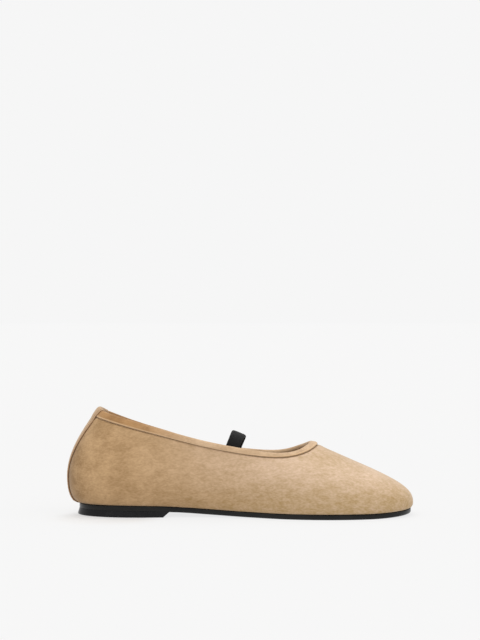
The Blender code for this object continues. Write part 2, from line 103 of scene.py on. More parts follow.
class CollarRow(NamedTuple):
    """The same rib at the collar: heights run from 0 at the throat to 1 at the back.

    rise, reach and drop bend the wall between its swell and the collar, as shares of the height and
    distance.
    """

    along: float
    outer: float
    inner: float
    outer_height: float
    inner_height: float
    rise: float
    reach: float
    drop: float


class Crease(NamedTuple):
    """A soft trough in the suede, with a low ridge on both sides."""

    share: float  # from the back (0) to the tip of the toe (1)
    side: Side
    down: float  # from the collar (0) to the feather (1)
    turn: float  # degrees from the line of the collar, downwards towards the toe
    reach: float
    width: float
    depth: float


SOLE_ROWS = (
    SoleRow(0.033, 0.000, 0.000, 0.095, 0.250),  # centre back
    SoleRow(0.056, 0.172, 0.172, 0.084, 0.244),  # back of the heel
    SoleRow(0.124, 0.296, 0.298, 0.052, 0.230),  # side of the heel
    SoleRow(0.248, 0.338, 0.326, 0.036, 0.212),  # quarter
    SoleRow(0.396, 0.352, 0.298, 0.032, 0.195),  # waist
    SoleRow(0.536, 0.418, 0.372, 0.030, 0.170),  # instep
    SoleRow(0.676, 0.484, 0.482, 0.028, 0.135),  # ball
    SoleRow(0.800, 0.452, 0.488, 0.026, 0.100),  # forepart
    SoleRow(0.906, 0.316, 0.396, 0.024, 0.070),  # side of the toe
    SoleRow(0.970, 0.140, 0.250, 0.022, 0.054),  # corner of the toe
    SoleRow(0.991, -0.054, 0.054, 0.020, 0.048),  # tip of the toe
)

COLLAR_ROWS = (
    CollarRow(0.0885, 0.000, 0.000, 1.000, 1.000, 0.38, 0.44, 0.29),  # centre back
    CollarRow(0.102, 0.125, 0.125, 0.900, 0.915, 0.37, 0.44, 0.29),  # back of the heel
    CollarRow(0.170, 0.240, 0.240, 0.590, 0.690, 0.34, 0.42, 0.29),  # side of the heel
    CollarRow(0.276, 0.300, 0.298, 0.225, 0.385, 0.33, 0.42, 0.29),  # quarter
    CollarRow(0.400, 0.330, 0.324, -0.155, 0.043, 0.34, 0.42, 0.28),  # waist
    CollarRow(0.520, 0.336, 0.328, -0.330, -0.180, 0.38, 0.42, 0.25),  # instep
    CollarRow(0.618, 0.312, 0.312, -0.345, -0.275, 0.44, 0.46, 0.24),  # ball
    CollarRow(0.669, 0.246, 0.248, -0.200, -0.195, 0.41, 0.58, 0.34),  # forepart
    CollarRow(0.693, 0.164, 0.170, -0.089, -0.085, 0.34, 0.71, 0.48),  # side of the toe
    CollarRow(0.705, 0.076, 0.086, -0.017, -0.012, 0.29, 0.80, 0.57),  # corner of the toe
    CollarRow(0.708, -0.006, 0.006, 0.000, 0.000, 0.28, 0.82, 0.59),  # tip of the toe
)

# Height of the seat along the sole: shares of the length and of the heel's lift
SHANK_ROWS = (
    (0.00, 1.00),
    (0.14, 1.00),
    (0.27, 0.89),
    (0.34, 0.68),
    (0.43, 0.35),
    (0.52, 0.12),
    (0.64, 0.00),
    (1.00, 0.00),
)
# Reach of the binding from the back (0) to the throat (1), as shares of its depth
BINDING_ROWS = ((0.00, 1.35), (0.14, 1.05), (0.40, 0.60), (0.66, 0.95), (1.00, 1.05))

# Width of the heel strip from the collar (0) to its foot (1), as shares of its width
STRIP_ROWS = ((0.00, 1.00), (0.30, 0.93), (0.65, 0.71), (1.00, 0.62))

# Soft troughs seen in the suede, from the heel to the toe
CREASES = (
    Crease(0.13, Side.INNER, 0.24, 62.0, 0.011, 0.0030, 0.00022),
    Crease(0.24, Side.INNER, 0.55, 78.0, 0.013, 0.0042, 0.00020),
    Crease(0.36, Side.INNER, 0.30, 66.0, 0.010, 0.0034, 0.00026),
    Crease(0.41, Side.INNER, 0.72, 12.0, 0.015, 0.0040, 0.00028),
    Crease(0.50, Side.INNER, 0.80, -8.0, 0.014, 0.0036, 0.00026),
    Crease(0.57, Side.INNER, 0.28, 58.0, 0.009, 0.0030, 0.00024),
    Crease(0.70, Side.INNER, 0.50, 35.0, 0.015, 0.0046, 0.00024),
    Crease(0.84, Side.INNER, 0.62, 8.0, 0.014, 0.0040, 0.00018),
    Crease(0.15, Side.OUTER, 0.30, 60.0, 0.012, 0.0034, 0.00022),
    Crease(0.33, Side.OUTER, 0.45, 70.0, 0.012, 0.0038, 0.00024),
    Crease(0.44, Side.OUTER, 0.76, 6.0, 0.016, 0.0040, 0.00028),
    Crease(0.60, Side.OUTER, 0.34, 52.0, 0.011, 0.0034, 0.00026),
    Crease(0.74, Side.OUTER, 0.52, 30.0, 0.015, 0.0044, 0.00024),
)


def closed_spline(knots: np.ndarray, values: np.ndarray, at: np.ndarray) -> np.ndarray:
    """Curve of matching slope and bend through the values, which closes after the last knot.

    Args:
        knots: place of each value, and the place where the curve closes.
        values: one row for each knot but the last.
        at: places to read.

    Returns:
        One row for each place.
    """
    count = len(values)
    spans = np.diff(knots)
    before = np.roll(spans, 1)
    slopes = (np.roll(values, -1, axis=0) - values) / spans[:, None]
    system = np.zeros((count, count))
    for row in range(count):
        system[row, row] = 2 * (before[row] + spans[row])
        system[row, (row - 1) % count] += before[row]
        system[row, (row + 1) % count] += spans[row]
    bends = np.linalg.solve(system, 6 * (slopes - np.roll(slopes, 1, axis=0)))
    at = np.mod(at, knots[-1])
    left = np.clip(np.searchsorted(knots, at, side="right") - 1, 0, count - 1)
    right = (left + 1) % count
    span = spans[left][:, None]
    run = (at - knots[left])[:, None]
    rest = span - run
    return (
        bends[left] * rest**3 / (6 * span)
        + bends[right] * run**3 / (6 * span)
        + (values[left] / span - bends[left] * span / 6) * rest
        + (values[right] / span - bends[right] * span / 6) * run
    )


def smooth_table(rows: tuple[tuple[float, float], ...], at: np.ndarray) -> np.ndarray:
    """Curve through rows of (place, value) that never overshoots them.

    Args:
        rows: places in rising order, with their values.
        at: places to read.

    Returns:
        The value at each place.
    """
    places = np.array([row[0] for row in rows])
    values = np.array([row[1] for row in rows])
    spans = np.diff(places)
    slopes = np.diff(values) / spans
    tangents = np.zeros(len(rows))
    for i in range(1, len(rows) - 1):
        if slopes[i - 1] * slopes[i] > 0:
            tangents[i] = 2 * slopes[i - 1] * slopes[i] / (slopes[i - 1] + slopes[i])
    left = np.clip(np.searchsorted(places, at, side="right") - 1, 0, len(spans) - 1)
    run = (at - places[left]) / spans[left]
    return (
        (2 * run**3 - 3 * run**2 + 1) * values[left]
        + (run**3 - 2 * run**2 + run) * spans[left] * tangents[left]
        + (3 * run**2 - 2 * run**3) * values[left + 1]
        + (run**3 - run**2) * spans[left] * tangents[left + 1]
    )


def places_round(count: int) -> np.ndarray:
    """Even places round the last: 0 at the back, 1 at the tip of the toe and 2 at the back again."""
    return np.arange(count) * 2.0 / count


def from_back(u: np.ndarray) -> np.ndarray:
    """Share of the way from the back (0) to the tip (1) at places round the last, on either side."""
    return 1.0 - np.abs(np.mod(np.asarray(u, float), 2.0) - 1.0)


def bezier(controls: tuple[np.ndarray, ...], share: np.ndarray) -> np.ndarray:
    """Cubic curve.

    Args:
        controls: its four control points.
        share: shares of the way along it.

    Returns:
        One point for each share.
    """
    s = share[:, None]
    return (
        controls[0] * (1 - s) ** 3
        + 3 * controls[1] * s * (1 - s) ** 2
        + 3 * controls[2] * s**2 * (1 - s)
        + controls[3] * s**3
    )


def unit(vectors: np.ndarray) -> np.ndarray:
    """The same directions with a length of 1."""
    return vectors / np.linalg.norm(vectors, axis=-1, keepdims=True)


def hump(distance: np.ndarray, width: float) -> np.ndarray:
    """Bell of height 1 that falls away over a width."""
    return np.exp(-((distance / width) ** 2))


def resample_rows(points: np.ndarray, step: float, softness: float) -> np.ndarray:
    """Even rows along a grid of points, with its corners eased.

    Args:
        points: grid (rows, columns, 3).
        step: distance between the new rows.
        softness: distance over which a corner is eased.

    Returns:
        The new grid, whose first and last rows are the old ones.
    """
    middle = points[:, points.shape[1] // 2]
    runs = np.concatenate([[0.0], np.cumsum(np.linalg.norm(np.diff(middle, axis=0), axis=1))])
    count = int(round(runs[-1] / step)) + 1
    places = np.linspace(0.0, runs[-1], count)
    flat = points.reshape(len(points), -1)
    fine = np.stack([np.interp(places, runs, flat[:, k]) for k in range(flat.shape[1])], axis=1)
    weights = hump(places[:, None] - places[None, :], softness)
    room = np.minimum(places, places[-1] - places)
    weights *= np.abs(places[:, None] - places[None, :]) <= room[:, None] + 1e-9
    fine = weights @ fine / weights.sum(axis=1, keepdims=True)
    return fine.reshape(count, -1, 3)


@dataclass
class Last:
    """Sizes of the shoe's last and bottom, and the smooth faces worked out from them."""

    length: float = 0.250
    ball_width: float = 0.084
    back_height: float = 0.0754
    throat_height: float = 0.0513
    sole_thickness: float = 0.0035
    heel_lift: float = 0.0045
    toe_spring: float = 0.0020
    spring_start: float = 0.86
    upper_wall: float = 0.0018
    lasting_margin: float = 0.0090
    feather_inset: float = 0.0010
    turn_reach: float = 0.68
    turn_rise: float = 0.60
    gap: float = 0.0003
    small_step: float = 1e-4
    wall_samples: int = 121
    place: np.ndarray = field(default_factory=lambda: np.zeros(3))
    knots: np.ndarray = field(init=False)
    sole_ring: np.ndarray = field(init=False)
    collar_ring: np.ndarray = field(init=False)

    def __post_init__(self) -> None:
        """Works out the ring of ribs once."""
        sole = np.array(SOLE_ROWS)
        collar = np.array(COLLAR_ROWS)
        x = sole[:, 0] * self.length
        widths = {Side.OUTER: sole[:, 1] * self.ball_width, Side.INNER: -sole[:, 2] * self.ball_width}
        swell = np.column_stack([sole[:, 3] * self.ball_width, sole[:, 4] * self.back_height])
        bottoms = {side: np.column_stack([x, y, swell]) for side, y in widths.items()}
        chords = sum(np.hypot(np.diff(x), np.diff(y)) for y in widths.values()) / len(widths)
        one_side = np.concatenate([[0.0], np.cumsum(chords)]) / chords.sum()
        heights = self.throat_height + (self.back_height - self.throat_height) * collar[:, 3:5]
        collar_x = collar[:, 0] * self.length
        outer = np.column_stack([collar_x, collar[:, 1] * self.ball_width, heights[:, 0], collar[:, 5:8]])
        inner = np.column_stack([collar_x, -collar[:, 2] * self.ball_width, heights[:, 1], collar[:, 5:8]])
        self.knots = np.concatenate([one_side, 2.0 - one_side[-2::-1]])
        self.sole_ring = self._ring(bottoms[Side.INNER], bottoms[Side.OUTER])
        self.collar_ring = self._ring(inner, outer)

    @staticmethod
    def _ring(inner: np.ndarray, outer: np.ndarray) -> np.ndarray:
        """Rows from back to tip, as one ring: out along the inner side and home along the outer side."""
        return np.concatenate([inner, outer[-2:0:-1]])

    def seat_height(self, x: np.ndarray) -> np.ndarray:
        """Top of the outsole above the floor.

        Args:
            x: distances from the back of the shoe.

        Returns:
            One height for each.
        """
        share = np.clip(np.asarray(x, float) / self.length, 0.0, 1.0)
        spring = np.clip((share - self.spring_start) / (1.0 - self.spring_start), 0.0, 1.0) ** 2
        lift = self.heel_lift * smooth_table(SHANK_ROWS, share)
        return self.sole_thickness + lift + self.toe_spring * spring

    def underside(self, x: np.ndarray) -> np.ndarray:
        """Underside of the outsole above the floor at a distance x from the back."""
        return self.seat_height(x) - self.sole_thickness

    def outline(self, u: np.ndarray, outset: Any = 0.0) -> tuple[np.ndarray, np.ndarray]:
        """Plan of the sole's edge.

        Args:
            u: places round the last, 0 at the back, 1 at the tip and 2 at the back again.
            outset: how far the plan is moved outwards.

        Returns:
            The points, and the outward direction at each.
        """
        ahead = closed_spline(self.knots, self.sole_ring, u + self.small_step)[:, :2]
        behind = closed_spline(self.knots, self.sole_ring, u - self.small_step)[:, :2]
        run = unit(ahead - behind)
        outward = np.column_stack([run[:, 1], -run[:, 0]])
        points = closed_spline(self.knots, self.sole_ring, u)[:, :2]
        return points + outward * np.reshape(outset, (-1, 1)), outward

    def skin(self, u: np.ndarray, t: np.ndarray) -> np.ndarray:
        """Outer face of the upper.

        Args:
            u: places round the last.
            t: -1 at the edge of the lasting margin, 0 at the feather, 1 at the swell, 2 at the collar.

        Returns:
            One point for each pair.
        """
        columns = closed_spline(self.knots, self.sole_ring, u)
        collar = closed_spline(self.knots, self.collar_ring, u)
        feather_plan, outward = self.outline(u, -self.feather_inset)
        swell_plan = self.outline(u, columns[:, 2])[0]
        seat = self.seat_height(feather_plan[:, 0]) + self.gap
        feather = np.column_stack([feather_plan, seat])
        swell = np.column_stack([swell_plan, seat + columns[:, 3]])
        turn_run = np.linalg.norm(swell_plan - feather_plan, axis=1)[:, None]
        turn_out = feather + np.column_stack([outward, 0 * seat]) * turn_run * self.turn_reach
        turn_up = swell - np.column_stack([0 * outward, columns[:, 3]]) * self.turn_rise
        edge = collar[:, :3]
        wall = edge[:, 2] - swell[:, 2]
        rise, reach, drop = collar[:, 3], collar[:, 4], collar[:, 5]
        upright = swell + np.column_stack([0 * outward, rise * wall])
        shoulder_plan = edge[:, :2] + (swell_plan - edge[:, :2]) * reach[:, None]
        shoulder = np.column_stack([shoulder_plan, edge[:, 2] - drop * wall])
        margin_plan = feather_plan + outward * (np.minimum(t, 0.0) * self.lasting_margin)[:, None]
        margin = np.column_stack([margin_plan, self.seat_height(margin_plan[:, 0]) + self.gap])
        turned = bezier((feather, turn_out, turn_up, swell), np.clip(t, 0.0, 1.0))
        side = bezier((swell, upright, shoulder, edge), np.maximum(t - 1.0, 0.0))
        return np.select((t[:, None] < 0.0, t[:, None] <= 1.0), (margin, turned), side)

    def skin_normal(self, u: np.ndarray, t: np.ndarray) -> np.ndarray:
        """Outward normal of the upper's outer face.

        Args:
            u: places round the last.
            t: heights on it, as for skin.

        Returns:
            One direction for each pair.
        """
        along = self.skin(u + self.small_step, t) - self.skin(u - self.small_step, t)
        low = np.maximum(t - self.small_step, np.where(t > 0.0, 0.0, -1.0))
        return unit(np.cross(along, self.skin(u, t + self.small_step) - self.skin(u, low)))

    def wall_lines(self, u: np.ndarray) -> tuple[np.ndarray, np.ndarray, np.ndarray]:
        """Lines down the wall from the collar to the feather.

        Args:
            u: places round the last.

        Returns:
            The t of every sample, the points (places, samples, 3) and their distance down from the
            collar's edge.
        """
        samples = np.linspace(2.0, 0.0, self.wall_samples)
        count = len(samples)
        lines = self.skin(np.repeat(u, count), np.tile(samples, len(u))).reshape(len(u), count, 3)
        runs = np.linalg.norm(np.diff(lines, axis=1), axis=2)
        return samples, lines, np.concatenate([np.zeros((len(u), 1)), np.cumsum(runs, axis=1)], axis=1)

    def wall_grid(self, u: np.ndarray, depth: Any, offset: Any) -> np.ndarray:
        """Points a depth down the wall from the collar's edge and an offset out from it.

        Args:
            u: places round the last.
            depth: grid (rows, places), or what broadcasts to it. A depth below 0 is past the edge.
            offset: the same for the offset.

        Returns:
            Grid of points (rows, places, 3).
        """
        depth, offset = np.broadcast_arrays(depth, offset, np.zeros((1, len(u))))[:2]
        samples, lines, lengths = self.wall_lines(u)
        t = np.stack([np.interp(depth[:, i], lengths[i], samples) for i in range(len(u))], axis=1)
        downwards = (lines[:, 1] - lines[:, 0]) / lengths[:, 1:2]
        past_edge = downwards[None] * np.minimum(depth, 0.0)[:, :, None]
        places = np.tile(u, len(depth))
        points = self.skin(places, t.ravel()) + self.skin_normal(places, t.ravel()) * offset.reshape(-1, 1)
        return points.reshape(*depth.shape, 3) + past_edge

    def share_place(self, share: float, side: Side) -> float:
        """Place round the last of a share from the back (0) to the tip (1) on one side."""
        return share if side is Side.INNER else 2.0 - share


class Draft:
    """Points and faces of one piece, gathered grid by grid."""

    def __init__(self) -> None:
        """Starts with nothing."""
        self.points: list[np.ndarray] = []
        self.faces: list[tuple[int, ...]] = []
        self.count = 0

    def place(self, points: np.ndarray) -> np.ndarray:
        """Adds points.

        Args:
            points: grid of points.

        Returns:
            Their numbers, in the same grid.
        """
        flat = points.reshape(-1, 3)
        numbers = np.arange(self.count, self.count + len(flat)).reshape(points.shape[:-1])
        self.points.append(flat)
        self.count += len(flat)
        return numbers

    def cover(self, numbers: np.ndarray, close_rows: bool = False, close_columns: bool = False) -> None:
        """Adds quads between neighbouring rows and columns.

        Args:
            numbers: grid of the points' numbers.
            close_rows: whether the last row joins the first.
            close_columns: whether the last column joins the first.
        """
        if close_rows:
            numbers = np.concatenate([numbers, numbers[:1]])
        if close_columns:
            numbers = np.concatenate([numbers, numbers[:, :1]], axis=1)
        corners = (numbers[:-1, :-1], numbers[:-1, 1:], numbers[1:, 1:], numbers[1:, :-1])
        self.faces += map(tuple, np.stack(corners, axis=-1).reshape(-1, 4).tolist())

    def fan(self, tip: int, row: np.ndarray) -> None:
        """Triangles from a point to each span of a row."""
        self.faces += [(int(tip), int(a), int(b)) for a, b in zip(row, row[1:])]

    def cap(self, ring: np.ndarray, columns: int, level: Levels, front: int = 0) -> None:
        """Fills a ring whose places pair off across the shoe.

        Args:
            ring: numbers of the ring's points.
            columns: spans across the shoe.
            level: height of a point, from its place along the shoe and its share from the middle
                line to the edge.
            front: places between the last pair, where the ring ends in a straight line.
        """
        points = np.concatenate(self.points)
        half = (len(ring) - front) // 2
        last = half if front else half - 1
        shares = np.linspace(0.0, 1.0, columns + 1)[1:-1]
        rows = []
        for i in range(1, last + 1):
            first, second = ring[i], ring[-i]
            if front and i == last:
                between = ring[i + 1 : i + columns]
            else:
                inside = points[first] + (points[second] - points[first]) * shares[:, None]
                inside[:, 2] = level(inside[:, 0], np.abs(2 * shares - 1))
                between = self.place(inside)
            rows.append(np.concatenate([[first], between, [second]]))
        self.cover(np.array(rows))
        self.fan(ring[0], rows[0])
        if not front:
            self.fan(ring[half], rows[-1])

    def finish(
        self, name: str, last: Last, finish: "Finish", masks: dict[str, np.ndarray] | None = None
    ) -> bpy.types.Object:
        """Makes the piece, with its faces pointing out.

        Args:
            name: the piece's name.
            last: gives the place of the last's frame.
            finish: what the piece is made of.
            masks: values for each point, kept on the mesh under their names.

        Returns:
            The new object.
        """
        mesh = bpy.data.meshes.new(name)
        points = np.concatenate(self.points) + last.place
        mesh.from_pydata(points.tolist(), [], self.faces)
        solid = bmesh.new()
        solid.from_mesh(mesh)
        bmesh.ops.recalc_face_normals(solid, faces=solid.faces)
        solid.to_mesh(mesh)
        solid.free()
        for mask, values in (masks or {}).items():
            kind, member = ("FLOAT", "value") if values.ndim == 1 else ("FLOAT_VECTOR", "vector")
            kept = mesh.attributes.new(mask, kind, "POINT")
            kept.data.foreach_set(member, values.astype(np.float32).ravel())
        mesh.shade_smooth()
        mesh.materials.append(finish.material())
        piece = bpy.data.objects.new(name, mesh)
        bpy.context.scene.collection.objects.link(piece)
        return piece


class NodeSheet:
    """Adds nodes to a tree and joins them."""

    def __init__(self, tree: bpy.types.NodeTree) -> None:
        """Works on a tree."""
        self.tree = tree

    def add(self, kind: str, inputs: dict[Any, Any] | None = None, **settings: Any) -> bpy.types.Node:
        """Adds a node.

        Args:
            kind: its type.
            inputs: a value, or the output that feeds it, for each named or numbered input.
            settings: its other settings.

        Returns:
            The new node.
        """
        node = self.tree.nodes.new(kind)
        for name, value in settings.items():
            setattr(node, name, value)
        for name, value in (inputs or {}).items():
            socket = node.inputs[name]
            if isinstance(value, Socket):
                self.tree.links.new(value, socket)
            elif socket.type == "RGBA" and len(value) == 3:
                socket.default_value = (*value, 1.0)
            else:
                socket.default_value = value
        return node

    def math(self, operation: str, first: Any, second: Any = 0.0) -> Socket:
        """One sum of two values, each a number or an output."""
        return self.add("ShaderNodeMath", {0: first, 1: second}, operation=operation).outputs[0]

    def weigh(self, *parts: tuple[Any, float]) -> Socket:
        """Sums values by weight.

        Args:
            parts: pairs of an output, or a number, and its weight.

        Returns:
            The output that holds the sum.
        """
        total = 0.0
        for value, weight in parts:
            total = self.math("ADD", self.math("MULTIPLY", value, weight), total)
        return total

    def spread(
        self, value: Any, low: float, high: float, to_low: float = 0.0, to_high: float = 1.0
    ) -> Socket:
        """Maps a range of a value on another range, smoothly and with its ends held."""
        inputs = {0: value, 1: low, 2: high, 3: to_low, 4: to_high}
        return self.add("ShaderNodeMapRange", inputs, interpolation_type="SMOOTHSTEP").outputs[0]

    def mix(self, share: Any, first: Any, second: Any) -> Socket:
        """Mixes two colours, each a colour or an output."""
        return self.add("ShaderNodeMix", {0: share, 6: first, 7: second}, data_type="RGBA").outputs[2]

    def noise(self, where: Any, size: float, detail: float = 2.0, roughness: float = 0.5) -> Socket:
        """Cloudy value whose spots are about a size across, in metres."""
        inputs = {"Vector": where, "Scale": 1.0 / size, "Detail": detail, "Roughness": roughness}
        return self.add("ShaderNodeTexNoise", inputs).outputs[0]

    def stretch(self, where: Any, scale: Triple, turn: Triple) -> Socket:
        """Turns and stretches coordinates."""
        return self.add("ShaderNodeMapping", {"Vector": where, "Scale": scale, "Rotation": turn}).outputs[0]


class NodeGroup:
    """A node tree with named inputs and outputs, built once."""

    name = ""
    kind = "ShaderNodeTree"
    inputs: SocketKinds = ()
    outputs: SocketKinds = ()

    def tree(self) -> bpy.types.NodeTree:
        """Makes the tree at its first use.

        Returns:
            The tree.
        """
        found = bpy.data.node_groups.get(self.name)
        if found:
            return found
        tree = bpy.data.node_groups.new(self.name, self.kind)
        for direction, sockets in (("INPUT", self.inputs), ("OUTPUT", self.outputs)):
            for name, kind in sockets:
                tree.interface.new_socket(name, in_out=direction, socket_type=kind)
        sheet = NodeSheet(tree)
        source = sheet.add("NodeGroupInput")
        sheet.add("NodeGroupOutput", self.build(sheet, source.outputs))
        return tree

    def build(self, sheet: NodeSheet, given: Any) -> dict[str, Socket]:
        """Fills the tree from its inputs and returns what each output shows."""
        raise NotImplementedError

    def use(self, sheet: NodeSheet, inputs: dict[str, Any]) -> Any:
        """Places a shader group in a material and returns its outputs."""
        return sheet.add("ShaderNodeGroup", inputs, node_tree=self.tree()).outputs


class NapGroup(NodeGroup):
    """Brushed nap: soft clouds, strokes of the brush and the ends of the fibres."""

    name = "brushed_nap"
    inputs = (
        ("Where", "NodeSocketVector"),
        ("Dark", "NodeSocketColor"),
        ("Light", "NodeSocketColor"),
        ("Shift", "NodeSocketFloat"),
        ("Mottle", "NodeSocketFloat"),
    )
    outputs = (
        ("Color", "NodeSocketColor"),
        ("Roughness", "NodeSocketFloat"),
        ("Height", "NodeSocketFloat"),
    )
    cloud = 0.015
    cloud_contrast = (0.30, 0.70)
    stroke = 0.0040
    stroke_contrast = (0.25, 0.75)
    tuft = 0.0012
    tuft_contrast = (0.28, 0.72)
    fibre = 0.00040
    brush_stretch = (0.55, 1.0, 1.25)
    fibre_stretch = (0.7, 1.0, 1.0)
    brush_turn = (0.0, 0.42, 0.0)
    base_tone = 0.14
    roughness = (0.86, 0.97)

    def build(self, sheet: NodeSheet, given: Any) -> dict[str, Socket]:
        """Lets clouds and strokes set the tone, and strokes and fibres the height.

        Args:
            sheet: adds the nodes.
            given: the group's inputs.

        Returns:
            What each output shows.
        """
        where = given["Where"]
        clouds = sheet.spread(sheet.noise(where, self.cloud, 3.0, 0.55), *self.cloud_contrast)
        brushed = sheet.stretch(where, self.brush_stretch, self.brush_turn)
        strokes = sheet.spread(sheet.noise(brushed, self.stroke, 2.5, 0.6), *self.stroke_contrast)
        combed = sheet.stretch(where, self.fibre_stretch, self.brush_turn)
        fibres = sheet.noise(combed, self.fibre, 2.0, 0.6)
        tufts = sheet.spread(sheet.noise(brushed, self.tuft, 2.0, 0.5), *self.tuft_contrast)
        blotches = sheet.math("MULTIPLY", sheet.math("SUBTRACT", clouds, 0.5), given["Mottle"])
        texture = sheet.weigh((strokes, 0.28), (tufts, 0.28), (fibres, 0.24))
        # The shift added here is painted light and shade from the material, on top of the nap's own tone.
        tone = sheet.weigh((blotches, 1.0), (texture, 1.0), (given["Shift"], 1.0), (self.base_tone, 1.0))
        height = sheet.weigh((fibres, 0.50), (tufts, 0.25), (strokes, 0.25))
        return {
            "Color": sheet.mix(tone, given["Dark"], given["Light"]),
            "Roughness": sheet.spread(strokes, 0.0, 1.0, *self.roughness),
            "Height": height,
        }


class GrainGroup(NodeGroup):
    """Fine pebbled grain of smooth leather or moulded rubber."""

    name = "fine_grain"
    inputs = (
        ("Where", "NodeSocketVector"),
        ("Dark", "NodeSocketColor"),
        ("Light", "NodeSocketColor"),
        ("Scale", "NodeSocketFloat"),
    )
    outputs = (("Color", "NodeSocketColor"), ("Wear", "NodeSocketFloat"), ("Height", "NodeSocketFloat"))
    cloud = 0.014
    cloud_contrast = (0.32, 0.68)
    pebble_edge = 0.22

    def build(self, sheet: NodeSheet, given: Any) -> dict[str, Socket]:
        """Lets cells of the grain set the height, and clouds the tone and the wear.

        Args:
            sheet: adds the nodes.
            given: the group's inputs.

        Returns:
            What each output shows.
        """
        pattern = {"Vector": given["Where"], "Scale": given["Scale"]}
        cells = sheet.add("ShaderNodeTexVoronoi", pattern, feature="DISTANCE_TO_EDGE").outputs[0]
        pebbles = sheet.spread(cells, 0.0, self.pebble_edge)
        clouds = sheet.spread(sheet.noise(given["Where"], self.cloud, 4.0, 0.6), *self.cloud_contrast)
        tone = sheet.weigh((clouds, 0.75), (pebbles, 0.25))
        return {"Color": sheet.mix(tone, given["Dark"], given["Light"]), "Wear": clouds, "Height": pebbles}


NAP = NapGroup()
GRAIN = GrainGroup()


@dataclass(frozen=True)
class Finish:
    """What a piece is made of."""

    name: str
    slot: str

    def material(self) -> bpy.types.Material:
        """Makes the material at its first use.

        Returns:
            The material.
        """
        found = bpy.data.materials.get(self.name)
        if found:
            return found
        material = bpy.data.materials.new(self.name)
        material.use_nodes = True
        shader = material.node_tree.nodes["Principled BSDF"]
        sheet = NodeSheet(material.node_tree)
        where = sheet.add("ShaderNodeTexCoord").outputs["Object"]
        self.dress(sheet, shader, where)
        return material

    def dress(self, sheet: NodeSheet, shader: bpy.types.Node, where: Socket) -> None:
        """Sets the shader's own sockets and feeds its colour, roughness and normal."""
        raise NotImplementedError

    def raise_surface(self, sheet: NodeSheet, shader: bpy.types.Node, height: Any, distance: float) -> None:
        """Feeds a height to the shader as a bump of a distance in metres."""
        bump = sheet.add("ShaderNodeBump", {"Height": height, "Distance": distance, "Strength": 1.0})
        sheet.tree.links.new(bump.outputs[0], shader.inputs["Normal"])


@dataclass(frozen=True)
class Suede(Finish):
    """Brushed suede: a dark and a light tone of its nap at the heel and at the toe."""

    heel_dark: Colour
    heel_light: Colour
    toe_dark: Colour
    toe_light: Colour
    # Colour of the painted shade in the ditches under the binding and along cut edges.
    seam: Colour
    # Colour of the painted highlight along the binding's lower ridge.
    ridge_highlight: Colour = (0.740, 0.520, 0.310)
    nap_height: float = 0.00010
    fade_start: float = -0.105
    fade_end: float = 0.092
    # low, high and rise paint light and shade by height: the wall is painted darker low down and lighter
    # higher up; ahead_places and ahead_least fade this towards the heel.
    low: float = 0.008
    high: float = 0.040
    rise: float = 0.50
    # back_shade paints shade at the very back; vamp_shade paints the vamp's crown (crown_heights,
    # crown_places) a little darker.
    back_shade: float = 0.40
    vamp_shade: float = 0.26
    heel_mottle: float = 0.40
    toe_mottle: float = 0.10
    mottle_places: Range = (-0.100, -0.035)
    ahead_places: Range = (-0.085, -0.030)
    ahead_least: float = 0.15
    back_places: Range = (-0.123, -0.102)
    crown_heights: Range = (0.028, 0.042)
    crown_places: Range = (0.030, 0.060)
    specular: float = 0.18
    sheen: float = 0.30
    sheen_roughness: float = 0.45
    sheen_tint: Colour = (1.0, 0.93, 0.85)

    def dress(self, sheet: NodeSheet, shader: bpy.types.Node, where: Socket) -> None:
        """Gives a nap with a slow change of tone along the shoe, painted light and shade by height, at the
        back and on the vamp, a painted highlight on the binding's ridge, and painted shade in the seams and
        along cut edges.

        Args:
            sheet: adds the nodes.
            shader: the material's shader.
            where: place of each point on the shoe.
        """
        along, _, up = sheet.add("ShaderNodeSeparateXYZ", {0: where}).outputs
        share = sheet.spread(along, self.fade_start, self.fade_end)
        # Painted light and shade: lighter higher up and darker low down, less so towards the heel; darker
        # at the very back and on the vamp's crown.
        height = sheet.math("SUBTRACT", sheet.spread(up, self.low, self.high), 0.5)
        ahead = sheet.spread(along, *self.ahead_places, self.ahead_least, 1.0)
        back = sheet.math("SUBTRACT", sheet.spread(along, *self.back_places), 1.0)
        tall = sheet.spread(up, *self.crown_heights)
        crown = sheet.math("MULTIPLY", tall, sheet.spread(along, *self.crown_places))
        slope = sheet.math("MULTIPLY", height, ahead)
        painted_light = sheet.weigh((slope, self.rise), (back, self.back_shade), (crown, -self.vamp_shade))
        dark = sheet.mix(share, self.heel_dark, self.toe_dark)
        light = sheet.mix(share, self.heel_light, self.toe_light)
        mottle = sheet.spread(along, *self.mottle_places, self.heel_mottle, self.toe_mottle)
        inputs = {"Where": where, "Dark": dark, "Light": light, "Shift": painted_light, "Mottle": mottle}
        nap = NAP.use(sheet, inputs)
        # Masks of a painted highlight on the binding's ridge and of painted shade in the seams and along
        # cut edges.
        ridge_highlight = sheet.add("ShaderNodeAttribute", attribute_name="ridge_highlight").outputs["Fac"]
        seam = sheet.add("ShaderNodeAttribute", attribute_name="seam").outputs["Fac"]
        colour = sheet.mix(seam, sheet.mix(ridge_highlight, nap["Color"], self.ridge_highlight), self.seam)
        sheet.tree.links.new(colour, shader.inputs["Base Color"])
        sheet.tree.links.new(nap["Roughness"], shader.inputs["Roughness"])
        shader.inputs["Specular IOR Level"].default_value = self.specular
        shader.inputs["Sheen Weight"].default_value = self.sheen
        shader.inputs["Sheen Roughness"].default_value = self.sheen_roughness
        shader.inputs["Sheen Tint"].default_value = (*self.sheen_tint, 1.0)
        self.raise_surface(sheet, shader, nap["Height"], self.nap_height)


